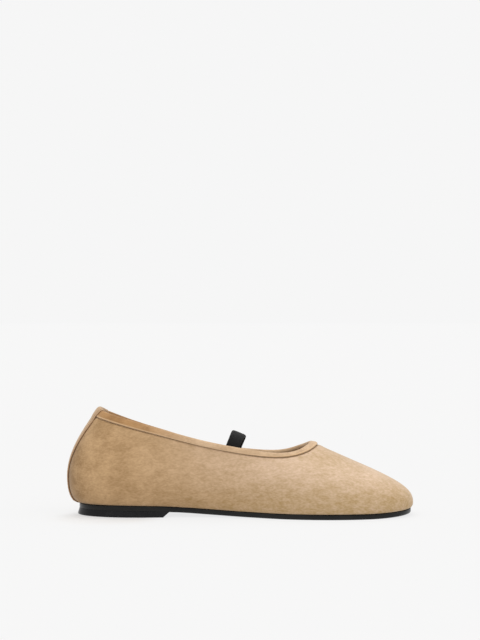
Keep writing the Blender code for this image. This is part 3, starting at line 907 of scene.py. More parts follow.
@dataclass(frozen=True)
class Grained(Finish):
    """Smooth leather or rubber with a fine grain."""

    dark: Colour
    light: Colour
    grain: float
    grain_height: float
    roughness: Range
    specular: float = 0.4

    def dress(self, sheet: NodeSheet, shader: bpy.types.Node, where: Socket) -> None:
        """Gives a grain with clouds of wear in its gloss.

        Args:
            sheet: adds the nodes.
            shader: the material's shader.
            where: place of each point on the shoe.
        """
        inputs = {"Where": where, "Dark": self.dark, "Light": self.light, "Scale": 1.0 / self.grain}
        grain = GRAIN.use(sheet, inputs)
        sheet.tree.links.new(grain["Color"], shader.inputs["Base Color"])
        rough = sheet.spread(grain["Wear"], 0.0, 1.0, *self.roughness)
        sheet.tree.links.new(rough, shader.inputs["Roughness"])
        shader.inputs["Specular IOR Level"].default_value = self.specular
        self.raise_surface(sheet, shader, grain["Height"], self.grain_height)


@dataclass(frozen=True)
class Elastic(Finish):
    """Woven elastic: the weft crosses the ribs, and the rubber shows a little between them."""

    dark: Colour
    light: Colour
    weft: float = 0.00045
    weft_height: float = 0.00008
    fluff: float = 0.0005
    roughness: Range = (0.72, 0.92)
    specular: float = 0.22
    sheen: float = 0.04
    sheen_roughness: float = 0.4

    def dress(self, sheet: NodeSheet, shader: bpy.types.Node, where: Socket) -> None:
        """Gives a fine weft across the strap, and fluff over it.

        Args:
            sheet: adds the nodes.
            shader: the material's shader.
            where: place of each point on the shoe.
        """
        cloth = sheet.add("ShaderNodeAttribute", attribute_name="cloth").outputs["Vector"]
        parts = sheet.add("ShaderNodeSeparateXYZ", {0: cloth}).outputs
        turns = sheet.math("MULTIPLY", parts[1], 2 * math.pi / self.weft)
        wave = sheet.spread(sheet.math("SINE", turns), -1.0, 1.0)
        fluff = sheet.noise(where, self.fluff, 3.0, 0.6)
        tone = sheet.weigh((wave, 0.55), (fluff, 0.45))
        sheet.tree.links.new(sheet.mix(tone, self.dark, self.light), shader.inputs["Base Color"])
        rough = sheet.spread(fluff, 0.3, 0.7, *self.roughness)
        sheet.tree.links.new(rough, shader.inputs["Roughness"])
        shader.inputs["Specular IOR Level"].default_value = self.specular
        shader.inputs["Sheen Weight"].default_value = self.sheen
        shader.inputs["Sheen Roughness"].default_value = self.sheen_roughness
        self.raise_surface(sheet, shader, tone, self.weft_height)


@dataclass(frozen=True)
class Thread(Finish):
    """Twisted sewing thread."""

    dark: Colour
    light: Colour
    twist: float = 0.0003
    twist_stretch: Triple = (1.0, 1.0, 1.6)
    twist_turn: Triple = (0.0, 0.6, 0.3)
    roughness: Range = (0.55, 0.75)
    strand_height: float = 0.00005

    def dress(self, sheet: NodeSheet, shader: bpy.types.Node, where: Socket) -> None:
        """Shows the strands as fine spots of two tones.

        Args:
            sheet: adds the nodes.
            shader: the material's shader.
            where: place of each point on the shoe.
        """
        twisted = sheet.stretch(where, self.twist_stretch, self.twist_turn)
        strands = sheet.noise(twisted, self.twist, 2.0, 0.5)
        tone = sheet.spread(strands, 0.35, 0.65)
        sheet.tree.links.new(sheet.mix(tone, self.dark, self.light), shader.inputs["Base Color"])
        rough = sheet.spread(strands, 0.3, 0.7, *self.roughness)
        sheet.tree.links.new(rough, shader.inputs["Roughness"])
        self.raise_surface(sheet, shader, strands, self.strand_height)


class Finishes:
    """Every finish of the shoe."""

    # Dark and light are the nap's own range of tone and also its shaded and lit tones: painted light by
    # height mixes towards the light tone, whose paler, pinker toe is a painted sheen.
    UPPER = Suede(
        "camel_suede",
        "upper",
        heel_dark=(0.290, 0.168, 0.070),
        heel_light=(0.570, 0.370, 0.195),
        toe_dark=(0.400, 0.260, 0.100),
        toe_light=(0.742, 0.556, 0.416),
        seam=(0.270, 0.155, 0.070),
    )
    BINDING = Suede(
        "binding_suede",
        "collar_binding",
        heel_dark=(0.290, 0.150, 0.058),
        heel_light=(0.455, 0.258, 0.112),
        toe_dark=(0.430, 0.280, 0.158),
        toe_light=(0.675, 0.478, 0.304),
        seam=(0.270, 0.155, 0.070),
        fade_start=-0.080,
        fade_end=-0.020,
        rise=0.0,
        back_shade=0.0,
        heel_mottle=0.75,
        toe_mottle=0.50,
        vamp_shade=0.0,
    )
    STRIP = Suede(
        "strip_suede",
        "heel_strip",
        heel_dark=(0.390, 0.250, 0.140),
        heel_light=(0.540, 0.370, 0.220),
        toe_dark=(0.390, 0.250, 0.140),
        toe_light=(0.540, 0.370, 0.220),
        seam=(0.300, 0.150, 0.070),
        rise=0.0,
        back_shade=0.0,
    )
    # Tan leather, darkened to paint the shade inside the shoe.
    LINING = Grained(
        "tan_lining",
        "insole",
        dark=(0.255, 0.150, 0.072),
        light=(0.360, 0.225, 0.116),
        grain=0.0007,
        grain_height=0.00003,
        roughness=(0.50, 0.68),
    )
    SOCK = Grained(
        "tan_sock",
        "insole",
        dark=(0.380, 0.240, 0.125),
        light=(0.500, 0.330, 0.185),
        grain=0.0008,
        grain_height=0.00004,
        roughness=(0.42, 0.62),
    )
    SOLE = Grained(
        "black_sole",
        "outsole",
        dark=(0.005, 0.005, 0.005),
        light=(0.011, 0.011, 0.010),
        grain=0.0011,
        grain_height=0.00001,
        roughness=(0.24, 0.36),
        specular=0.24,
    )
    HEEL = Grained(
        "black_heel",
        "heel_block",
        dark=(0.004, 0.004, 0.005),
        light=(0.009, 0.009, 0.010),
        grain=0.0011,
        grain_height=0.00001,
        roughness=(0.20, 0.32),
        specular=0.24,
    )
    STRAP = Elastic("black_elastic", "elastic_strap", (0.003, 0.003, 0.003), (0.011, 0.0112, 0.0112))
    SUEDE_THREAD = Thread("camel_thread", "collar_binding", (0.340, 0.205, 0.100), (0.520, 0.335, 0.175))
    BLACK_THREAD = Thread("black_thread", "elastic_strap", (0.008, 0.008, 0.008), (0.020, 0.020, 0.020))


class StitchTree(NodeGroup):
    """Geometry Nodes that lay one stitch after another along a line."""

    name = "row_of_stitches"
    kind = "GeometryNodeTree"
    inputs = (
        ("Geometry", "NodeSocketGeometry"),
        ("Pitch", "NodeSocketFloat"),
        ("Stitch Length", "NodeSocketFloat"),
        ("Thread Width", "NodeSocketFloat"),
        ("Slant", "NodeSocketFloat"),
        ("Unevenness", "NodeSocketFloat"),
        ("Seed", "NodeSocketInt"),
        ("Thread", "NodeSocketMaterial"),
    )
    outputs = (("Geometry", "NodeSocketGeometry"),)
    segments = 8
    rings = 5

    def build(self, sheet: NodeSheet, given: Any) -> dict[str, Socket]:
        """Puts a long ball of thread at each step of the line, turned with it.

        Args:
            sheet: adds the nodes.
            given: the tree's inputs.

        Returns:
            The stitches.
        """
        line = sheet.add("GeometryNodeMeshToCurve", {"Mesh": given["Geometry"]})
        steps = {"Curve": line.outputs[0], "Length": given["Pitch"]}
        points = sheet.add("GeometryNodeCurveToPoints", steps, mode="LENGTH")
        named = {"Name": "outward"}
        outward = sheet.add("GeometryNodeInputNamedAttribute", named, data_type="FLOAT_VECTOR")
        tangent = {"Vector": points.outputs["Tangent"]}
        ahead = sheet.add("FunctionNodeAlignRotationToVector", tangent, axis="X")
        upright = sheet.add(
            "FunctionNodeAlignRotationToVector",
            {"Rotation": ahead.outputs[0], "Vector": outward.outputs[0]},
            axis="Z",
            pivot_axis="X",
        )
        low = sheet.math("MULTIPLY", given["Unevenness"], -1.0)
        chance = {2: low, 3: given["Unevenness"], "Seed": given["Seed"]}
        uneven = sheet.add("FunctionNodeRandomValue", chance)
        turn = sheet.add("ShaderNodeCombineXYZ", {2: sheet.math("ADD", uneven.outputs[1], given["Slant"])})
        turns = {0: upright.outputs[0], 1: turn.outputs[0]}
        turned = sheet.add("FunctionNodeRotateRotation", turns, rotation_space="LOCAL")
        shape = {"Segments": self.segments, "Rings": self.rings, "Radius": 0.5}
        ball = sheet.add("GeometryNodeMeshUVSphere", shape)
        width = given["Thread Width"]
        size = sheet.add("ShaderNodeCombineXYZ", {0: given["Stitch Length"], 1: width, 2: width})
        stitches = sheet.add(
            "GeometryNodeInstanceOnPoints",
            {
                "Points": points.outputs["Points"],
                "Instance": ball.outputs[0],
                "Rotation": turned.outputs[0],
                "Scale": size.outputs[0],
            },
        )
        joined = sheet.add("GeometryNodeRealizeInstances", {0: stitches.outputs[0]})
        smooth = sheet.add("GeometryNodeSetShadeSmooth", {0: joined.outputs[0]})
        dressed = sheet.add("GeometryNodeSetMaterial", {0: smooth.outputs[0], "Material": given["Thread"]})
        return {"Geometry": dressed.outputs[0]}


class RibTree(NodeGroup):
    """Geometry Nodes that raise the ribs of woven elastic along its length."""

    name = "elastic_ribs"
    kind = "GeometryNodeTree"
    inputs = (
        ("Geometry", "NodeSocketGeometry"),
        ("Rib Width", "NodeSocketFloat"),
        ("Rib Height", "NodeSocketFloat"),
        ("Elastic", "NodeSocketMaterial"),
    )
    outputs = (("Geometry", "NodeSocketGeometry"),)

    def build(self, sheet: NodeSheet, given: Any) -> dict[str, Socket]:
        """Moves each point out by a wave of its place across the strap.

        Args:
            sheet: adds the nodes.
            given: the tree's inputs.

        Returns:
            The ribbed strap.
        """
        cloth = sheet.add("GeometryNodeInputNamedAttribute", {"Name": "cloth"}, data_type="FLOAT_VECTOR")
        parts = sheet.add("ShaderNodeSeparateXYZ", {0: cloth.outputs[0]}).outputs
        turns = sheet.math("MULTIPLY", sheet.math("DIVIDE", parts[0], given["Rib Width"]), 2 * math.pi)
        wave = sheet.math("ABSOLUTE", sheet.math("SINE", sheet.math("MULTIPLY", turns, 0.5)))
        height = sheet.math("MULTIPLY", sheet.math("MULTIPLY", wave, given["Rib Height"]), parts[2])
        normal = sheet.add("GeometryNodeInputNormal").outputs[0]
        raised = sheet.add("ShaderNodeVectorMath", {0: normal}, operation="SCALE")
        sheet.tree.links.new(height, raised.inputs["Scale"])
        lifted = {"Geometry": given["Geometry"], "Offset": raised.outputs[0]}
        moved = sheet.add("GeometryNodeSetPosition", lifted)
        whole = sheet.add("GeometryNodeRealizeInstances", {0: moved.outputs[0]})
        dressed = sheet.add("GeometryNodeSetMaterial", {0: whole.outputs[0], "Material": given["Elastic"]})
        return {"Geometry": dressed.outputs[0]}


def grow(piece: bpy.types.Object, tree: bpy.types.NodeTree, values: dict[str, Any]) -> bpy.types.Object:
    """Runs a tree on a piece and keeps the result as a plain mesh.

    Args:
        piece: the piece that the tree starts from.
        tree: its Geometry Nodes.
        values: a value for each named input.

    Returns:
        The same object with its new mesh.
    """
    modifier = piece.modifiers.new(tree.name, "NODES")
    modifier.node_group = tree
    for item in tree.interface.items_tree:
        if item.in_out == "INPUT" and item.name in values:
            modifier[item.identifier] = values[item.name]
    view = bpy.context.evaluated_depsgraph_get()
    result = piece.evaluated_get(view)
    grown = bpy.data.meshes.new_from_object(result, preserve_all_data_layers=True, depsgraph=view)
    piece.modifiers.clear()
    old, piece.data = piece.data, grown
    bpy.data.meshes.remove(old)
    grown.name = piece.name
    return piece


@dataclass
class Stitching:
    """A row of sewn stitches."""

    last: Last
    finish: Thread
    pitch: float = 0.0023
    stitch: float = 0.0019
    thread: float = 0.00036
    slant: float = math.radians(7.0)
    unevenness: float = math.radians(4.0)

    def row(
        self, name: str, points: np.ndarray, outward: np.ndarray, closed: bool, seed: int
    ) -> bpy.types.Object:
        """Sews one row.

        Args:
            name: the piece's name.
            points: line of the row.
            outward: direction out of the leather at each point.
            closed: whether the row runs back into its start.
            seed: seed of the stitches' unevenness.

        Returns:
            The stitches as one piece.
        """
        mesh = bpy.data.meshes.new(name)
        count = len(points)
        spans = [(i, (i + 1) % count) for i in range(count if closed else count - 1)]
        mesh.from_pydata((points + self.last.place).tolist(), spans, [])
        kept = mesh.attributes.new("outward", "FLOAT_VECTOR", "POINT")
        kept.data.foreach_set("vector", outward.astype(np.float32).ravel())
        piece = bpy.data.objects.new(name, mesh)
        bpy.context.scene.collection.objects.link(piece)
        sizes = {
            "Pitch": self.pitch,
            "Stitch Length": self.stitch,
            "Thread Width": self.thread,
            "Slant": self.slant,
            "Unevenness": self.unevenness,
            "Seed": seed,
            "Thread": self.finish.material(),
        }
        return grow(piece, StitchTree().tree(), sizes)


@dataclass
class CollarBinding:
    """Suede strip folded over the collar, sewn down in the ditch below it."""

    last: Last
    finish: Suede = Finishes.BINDING
    depth: float = 0.0037
    thickness: float = 0.0008
    bulge: float = 0.00035
    pucker: float = 0.00012
    pucker_length: float = 0.0048
    wander_scale: float = 90.0
    wander: float = 1.6
    pressed: float = 0.80
    pressed_reach: float = 0.062
    # ridge, ridge_width and the share after them place and weigh a painted highlight along the binding's
    # lower ridge.
    ridge: float = 0.16
    ridge_width: float = 0.11
    ridge_highlight_share: float = 0.75
    lip: float = 0.14
    inner_lip: float = 0.86
    stitch_drop: float = 0.00015
    stitch_lift: float = 0.00005
    inner_stitches: float = 0.62
    probe: float = 0.001
    stations: int = 900
    leg_steps: int = 12
    fold_steps: int = 10

    def reach(self, u: np.ndarray) -> np.ndarray:
        """How far the binding reaches down the wall at each place round the last."""
        return self.depth * smooth_table(BINDING_ROWS, from_back(u))

    def fullness(self, u: np.ndarray) -> np.ndarray:
        """Share of its thickness that the binding keeps, less where the heel strip presses it."""
        return 1.0 - self.pressed * np.exp(-((from_back(u) / self.pressed_reach) ** 4))

    def fold(self, radius: Any, steps: int) -> list[tuple[Any, Any]]:
        """Half circle round the middle of the collar's edge, from the outer face to the inner.

        Args:
            radius: its radius, one for all places or one for each.
            steps: spans of the half circle.

        Returns:
            Pairs of (depth, offset).
        """
        angles = np.linspace(0.0, math.pi, steps + 1)
        middle = -self.last.upper_wall / 2
        return [(-radius * math.sin(a), middle + radius * math.cos(a)) for a in angles]

    def make(self) -> bpy.types.Object:
        """Builds the folded strip with its small puckers.

        Returns:
            The piece.
        """
        last = self.last
        u = places_round(self.stations)
        reach = self.reach(u)
        full = self.fullness(u)
        edge = last.wall_grid(u, 0.0, 0.0)[0]
        run = np.cumsum(np.linalg.norm(edge - np.roll(edge, 1, axis=0), axis=1))
        drift = np.array([noise.noise(Vector(point) * self.wander_scale) for point in edge])
        phase = 2 * math.pi * run / (run[-1] / round(run[-1] / self.pucker_length)) + self.wander * drift
        radius = last.upper_wall / 2 + last.gap
        shares = np.linspace(0.0, 1.0, self.leg_steps + 1)
        depths, offsets, seams, ridge_highlight = [], [], [], []
        for share in shares[:-1]:
            # Painted highlight along the lower ridge of the outer leg.
            wear = self.ridge_highlight_share * hump(np.array(share - self.ridge), self.ridge_width)
            ridge_highlight.append(np.full(len(u), wear))
            lip = math.sqrt(1.0 - (1.0 - min(share / self.lip, 1.0)) ** 2)
            swell = math.sin(math.pi * min(share * 1.05, 1.0)) ** 0.8
            waves = self.pucker * swell * np.sin(phase + 2.2 * share)
            depths.append(reach * (1.0 - share))
            offsets.append(last.gap + (self.thickness * lip + self.bulge * swell + waves) * full)
            # Painted shade along the lower edge of the outer leg, by the ditch.
            seams.append(np.full(len(u), 0.75 * hump(np.array(share), 0.06)))
        for depth, offset in self.fold(radius + self.thickness * full, self.fold_steps):
            depths.append(depth)
            offsets.append(offset)
            seams.append(np.zeros(len(u)))
        for share in shares[1:]:
            depths.append(reach * share)
            past_lip = max(share - self.inner_lip, 0.0)
            ease = math.sqrt(1.0 - past_lip**2 / self.lip**2) if share < 1.0 else 0.0
            offsets.append(-last.upper_wall - last.gap - self.thickness * ease * full)
            # Painted shade along the lower edge of the inner leg.
            seams.append(np.full(len(u), 0.5 * hump(np.array(1.0 - share), 0.08)))
        for depth, offset in self.fold(radius, self.fold_steps // 2)[::-1]:
            depths.append(np.full(len(u), depth))
            offsets.append(np.full(len(u), offset))
            seams.append(np.zeros(len(u)))
        draft = Draft()
        draft.cover(draft.place(last.wall_grid(u, np.array(depths), np.array(offsets))), True, True)
        ridge_highlight += [np.zeros(len(u))] * (len(depths) - len(ridge_highlight))
        masks = {"seam": np.concatenate(seams), "ridge_highlight": np.concatenate(ridge_highlight)}
        return draft.finish("collar_binding_strip", last, self.finish, masks)

    def ditch(self) -> tuple[np.ndarray, np.ndarray]:
        """Seam under the binding.

        Returns:
            Its line, and the direction out of it.
        """
        u = places_round(self.stations)
        offsets = np.array([[self.stitch_lift], [self.probe]])
        grid = self.last.wall_grid(u, self.reach(u) + self.stitch_drop, offsets)
        return grid[0], unit(grid[1] - grid[0])

    def inside(self) -> tuple[np.ndarray, np.ndarray]:
        """Stitches on the binding's inner leg.

        Returns:
            Their line, and the direction out of it.
        """
        u = places_round(self.stations)
        face = -self.last.upper_wall - self.last.gap - self.thickness
        offsets = np.array([[face], [face - self.probe]])
        grid = self.last.wall_grid(u, self.reach(u) * self.inner_stitches, offsets)
        return grid[0], unit(grid[1] - grid[0])


@dataclass
class SuedeUpper:
    """The suede wall, lasted under at the feather."""

    last: Last
    binding: CollarBinding
    finish: Suede = Finishes.UPPER
    thickness: float = 0.0011
    stations: int = 760
    seam_rows: int = 14
    seam_width: float = 0.0042
    seam_start: float = 0.0008
    # seam_shade and seam_line: strength and width of the painted shade in the ditch under the binding.
    seam_shade: float = 0.85
    seam_line: float = 0.00036
    wall_rows: int = 58
    inner_rows: int = 16
    ditch: float = 0.00022
    ditch_width: float = 0.0007
    puff: float = 0.00030
    puff_place: float = 0.0030
    puff_width: float = 0.0024
    pucker: float = 0.00011
    pucker_length: float = 0.0056
    pucker_place: float = 0.0016
    pucker_width: float = 0.0040
    pucker_slant: float = 420.0
    wander_scale: float = 60.0
    wander: float = 2.4
    softness: float = 0.00016
    softness_size: float = 0.022
    feather_ease: float = 0.010
    creases: tuple[Crease, ...] = CREASES
    crease_end: float = 2.5
    bank_height: float = 0.45
    bank_place: float = 1.8

    def make(self) -> bpy.types.Object:
        """Builds the wall with its seam, puckers and soft creases.

        Returns:
            The piece.
        """
        last = self.last
        u = places_round(self.stations)
        reach = self.binding.reach(u)
        full = last.wall_lines(u)[2][:, -1]
        near = np.linspace(0.0, 1.0, self.seam_rows + 1)[:, None]
        start = reach - self.seam_start
        rows = [np.zeros((1, len(u))), start[None] + (self.seam_width * near**1.2)]
        begin = rows[-1][-1]
        steps = np.linspace(0.0, 1.0, self.wall_rows + 1)[1:, None] ** 1.15
        rows.append(begin[None] + (full - begin)[None] * steps)
        depth = np.concatenate(rows)
        face = last.wall_grid(u, depth, 0.0)
        lift = self.relief(depth, full, reach, face)
        outward = last.wall_grid(u, depth, 1.0) - face
        outer = face + outward * lift[:, :, None]
        margins = [last.skin(u, np.full(len(u), t)) for t in (-0.5, -1.0)]
        inner_depth = full[None] * np.linspace(1.0, 0.0, self.inner_rows)[:, None]
        inner = last.wall_grid(u, inner_depth, -self.thickness)
        up = np.array([0.0, 0.0, self.thickness])
        under = [margins[1] + up, margins[0] + up]
        grid = np.concatenate([outer, np.array(margins), np.array(under), inner])
        # Painted shade in the ditch under the binding.
        seam = np.zeros(grid.shape[:2])
        seam[: len(depth)] = self.seam_shade * hump(depth - reach[None], self.seam_line)
        draft = Draft()
        draft.cover(draft.place(grid), True, True)
        return draft.finish("suede_upper", last, self.finish, {"seam": seam.ravel()})

    def relief(
        self, depth: np.ndarray, full: np.ndarray, reach: np.ndarray, face: np.ndarray
    ) -> np.ndarray:
        """How far the suede stands proud of the last at each point.

        Args:
            depth: distance of each point down from the collar.
            full: distance from the collar to the feather at each place.
            reach: distance from the collar to the seam at each place.
            face: the points on the last.

        Returns:
            Grid of heights in metres.
        """
        below = depth - reach[None]
        under = below > 0.0
        run = np.cumsum(np.linalg.norm(face[1] - np.roll(face[1], 1, axis=0), axis=1))
        drift = np.array([noise.noise(Vector(point) * self.wander_scale) for point in face[1]])
        phase = 2 * math.pi * run / (run[-1] / round(run[-1] / self.pucker_length)) + self.wander * drift
        strength = 0.65 + 0.6 * drift
        waves = np.sin(phase[None] + below * self.pucker_slant) * strength[None]
        lift = -self.ditch * hump(below, self.ditch_width)
        lift = lift + self.puff * hump(below - self.puff_place, self.puff_width) * under
        lift = lift + self.pucker * waves * hump(below - self.pucker_place, self.pucker_width) * under
        soft = [noise.noise(Vector(point) / self.softness_size) for point in face.reshape(-1, 3)]
        lift = lift + self.softness * np.array(soft).reshape(depth.shape) * under
        for crease in self.creases:
            lift = lift + self.trough(crease, face)
        ease = np.clip((full[None] - depth) / self.feather_ease, 0.0, 1.0)
        return lift * ease**2 * (3 - 2 * ease)

    def trough(self, crease: Crease, face: np.ndarray) -> np.ndarray:
        """Height that one crease adds.

        Args:
            crease: the crease.
            face: grid of the points on the last.

        Returns:
            Grid of heights in metres.
        """
        u = np.array([self.last.share_place(crease.share, crease.side)])
        full = self.last.wall_lines(u)[2][0, -1]
        downs = np.array([[crease.down], [crease.down + 0.02]])
        centre, lower = self.last.wall_grid(u, downs * full, 0.0)[:, 0]
        next_to = self.last.wall_grid(u - 0.01 * crease.side.value, crease.down * full, 0.0)[0, 0]
        down = unit(lower - centre)
        ahead = next_to - centre
        ahead = unit(ahead - down * np.dot(ahead, down))
        turn = math.radians(crease.turn)
        along = ahead * math.cos(turn) + down * math.sin(turn)
        across = down * math.cos(turn) - ahead * math.sin(turn)
        away = face - centre
        run = away @ along / crease.reach
        aside = away @ across
        out = np.linalg.norm(away, axis=2) / (self.crease_end * crease.reach)
        valley = -hump(aside, crease.width)
        beside = np.abs(aside) - self.bank_place * crease.width
        banks = self.bank_height * hump(beside, crease.width)
        return crease.depth * (valley + banks) * np.exp(-(run**4)) * np.exp(-(out**4))


@dataclass
class Lining:
    """Thin leather inside the suede, from the collar to under the insole."""

    last: Last
    finish: Grained = Finishes.LINING
    suede: float = 0.0011
    clearance: float = 0.0001
    stations: int = 400
    rows: int = 44

    def make(self) -> bpy.types.Object:
        """Builds the lining as one thin wall.

        Returns:
            The piece.
        """
        last = self.last
        u = places_round(self.stations)
        full = last.wall_lines(u)[2][:, -1]
        depth = full[None] * np.linspace(0.0, 1.0, self.rows)[:, None]
        front = last.wall_grid(u, depth, -last.upper_wall)
        back = last.wall_grid(u, depth[::-1], -self.suede - self.clearance)
        draft = Draft()
        draft.cover(draft.place(np.concatenate([front, back])), True, True)
        return draft.finish("lining", last, self.finish)


@dataclass
class HeelStrip:
    """Suede strip over the back seam, turned in over the bound collar and narrower towards its foot."""

    last: Last
    binding: CollarBinding
    finish: Suede = Finishes.STRIP
    width: float = 0.0215
    thickness: float = 0.0008
    turn_in: float = 0.0070
    skive: float = 0.0060
    probe: float = 1e-3
    edge_steps: int = 4
    face_steps: int = 16
    row_step: float = 0.0008
    softness: float = 0.0011
    step: int = 4
    fold_points: int = 13
    down_points: int = 60
    sewn_in: float = 0.0012
    sewn_width: float = 0.0006
    sewn_dip: float = 0.0001
    foot_share: float = 0.15
    stitch_start: float = 0.0125
    stitch_end: int = 8
    stitch_sink: float = 0.00004
    middle: np.ndarray = field(init=False)

    def path(self) -> np.ndarray:
        """Line of the strip: up the inside, over the bound collar and down the back.

        Returns:
            Rows of (depth, offset).
        """
        last = self.last
        clear = last.gap + self.thickness / 2
        kept = float(self.binding.fullness(np.zeros(1))[0])
        over = last.gap + (self.binding.thickness + self.binding.bulge) * kept + clear
        inside = -last.upper_wall - last.gap - self.binding.thickness * kept - clear
        full = float(last.wall_lines(np.zeros(1))[2][0, -1])
        reach = float(self.binding.reach(np.zeros(1))[0])
        step_end = reach + self.step * self.thickness
        middle = (over + inside) / 2
        radius = (over - inside) / 2
        angles = np.linspace(math.pi, 0.0, self.fold_points)
        path = [(self.turn_in * share, inside) for share in (1.0, 0.66, 0.33)]
        path += [(-radius * math.sin(a), middle + radius * math.cos(a)) for a in angles]
        path += [(reach / 2, over), (reach + last.gap, over), (step_end, clear)]
        down = np.linspace(step_end, full - last.gap, self.down_points)[1:]
        thin = np.clip((down[-1] - down) / self.skive, 0.0, 1.0)
        offsets = last.gap / 2 + (clear - last.gap / 2) * thin
        return np.array(path + list(zip(down, offsets)))

    def columns(self) -> tuple[np.ndarray, np.ndarray]:
        """Section of the strip, with rounded edges.

        Returns:
            The places across it, and the half thickness at each.
        """
        half = self.thickness / 2
        turns = np.linspace(math.pi / 2, 0.0, self.edge_steps + 1)[:-1]
        edge = self.width / 2 - half + half * np.sin(turns)
        flat = np.linspace(self.width / 2 - half, 0.0, self.face_steps // 2 + 1)
        right = np.concatenate([edge, flat])
        thick = np.concatenate([half * np.cos(turns), np.full(len(flat), half)])
        return np.concatenate([-right, right[-2::-1]]), np.concatenate([thick, thick[-2::-1]])

    def make(self) -> bpy.types.Object:
        """Builds the strip.

        Returns:
            The piece.
        """
        path = self.path()
        line = self.last.wall_grid(np.zeros(1), path[:, :1], path[:, 1:])[:, 0]
        aside = self.last.wall_grid(np.array([self.probe]), path[:, :1], path[:, 1:])[:, 0]
        speed = np.abs(aside[:, 1] - line[:, 1]) / self.probe
        places, half = self.columns()
        narrow = smooth_table(STRIP_ROWS, np.clip(path[:, 0] / path[-1, 0], 0.0, 1.0))
        rows = []
        for (depth, offset), pace, share in zip(path, speed, narrow):
            across = -places * share / pace
            rows.append(self.last.wall_grid(across, np.full((1, 1), depth), np.full((1, 1), offset))[0])
        self.middle = resample_rows(np.array(rows), self.row_step, self.softness)
        sewn = hump(np.abs(places) - (self.width / 2 - self.sewn_in), self.sewn_width)
        to_foot = np.arange(len(self.middle))[::-1] * self.row_step / self.skive
        thin = self.foot_share + (1.0 - self.foot_share) * np.clip(to_foot, 0.0, 1.0)
        thick = (half - self.sewn_dip * sewn)[None] * thin[:, None]
        return Ribbon(self.middle, thick, places).make("heel_strip_suede", self.last, self.finish)

    def seams(self) -> list[tuple[np.ndarray, np.ndarray]]:
        """Stitches along each edge of the outer face.

        Returns:
            For each edge their line, and the direction out of it.
        """
        places = self.columns()[0]
        normal = Ribbon.normals(self.middle)
        found = []
        for sign in (-1, 1):
            column = int(np.argmin(np.abs(places - sign * (self.width / 2 - self.sewn_in))))
            start = int(self.stitch_start / self.row_step)
            rows = slice(start, len(self.middle) - self.stitch_end)
            out = normal[rows, column]
            if out[len(out) // 2][0] > 0:
                out = -out
            lift = self.thickness / 2 - self.stitch_sink
            found.append((self.middle[rows, column] + out * lift, out))
        return found


class Ribbon:
    """Closed flat body around a grid of points, with thin edges rounded."""

    def __init__(self, middle: np.ndarray, half: np.ndarray, places: np.ndarray) -> None:
        """Takes the ribbon's shape.

        Args:
            middle: grid of points on its middle face.
            half: half thickness of each column or point.
            places: each column's place across.
        """
        self.middle = middle
        self.half = np.broadcast_to(half, middle.shape[:2])
        self.places = places

    @staticmethod
    def normals(middle: np.ndarray) -> np.ndarray:
        """Normal of a grid of points."""
        return unit(np.cross(np.gradient(middle, axis=0), np.gradient(middle, axis=1)))

    def make(self, name: str, last: Last, finish: Finish) -> bpy.types.Object:
        """Builds the body.

        Args:
            name: the piece's name.
            last: gives the place of the last's frame.
            finish: what it is made of.

        Returns:
            The new object, with its own cloth coordinates and a mask of painted shade along its edges.
        """
        offset = self.normals(self.middle) * self.half[:, :, None]
        top = self.middle + offset
        bottom = (self.middle - offset)[:, -2:0:-1]
        grid = np.concatenate([top, bottom], axis=1)
        draft = Draft()
        numbers = draft.place(grid)
        draft.cover(numbers, close_columns=True)
        count = self.middle.shape[1]
        for row in (numbers[0], numbers[-1]):
            over, back = row[:count], row[count:][::-1]
            draft.cover(np.array([over[1:-1], back]))
            draft.fan(over[0], np.array([over[1], back[0]]))
            draft.fan(over[-1], np.array([over[-2], back[-1]]))
        line = self.middle[:, count // 2]
        runs = np.concatenate([[0.0], np.cumsum(np.linalg.norm(np.diff(line, axis=0), axis=1))])
        across = np.concatenate([self.places, self.places[-2:0:-1]])
        half = np.concatenate([self.half, self.half[:, -2:0:-1]], axis=1)
        cloth = np.zeros(grid.shape)
        cloth[:, :, 0] = across[None]
        cloth[:, :, 1] = runs[:, None]
        cloth[:, :, 2] = (half / half.max(axis=1, keepdims=True)) ** 2
        # Painted shade along the edges, where the ribbon thins, stored as the seam mask.
        edge = 0.8 * (1.0 - cloth[:, :, 2])
        return draft.finish(name, last, finish, {"cloth": cloth.reshape(-1, 3), "seam": edge.ravel()})


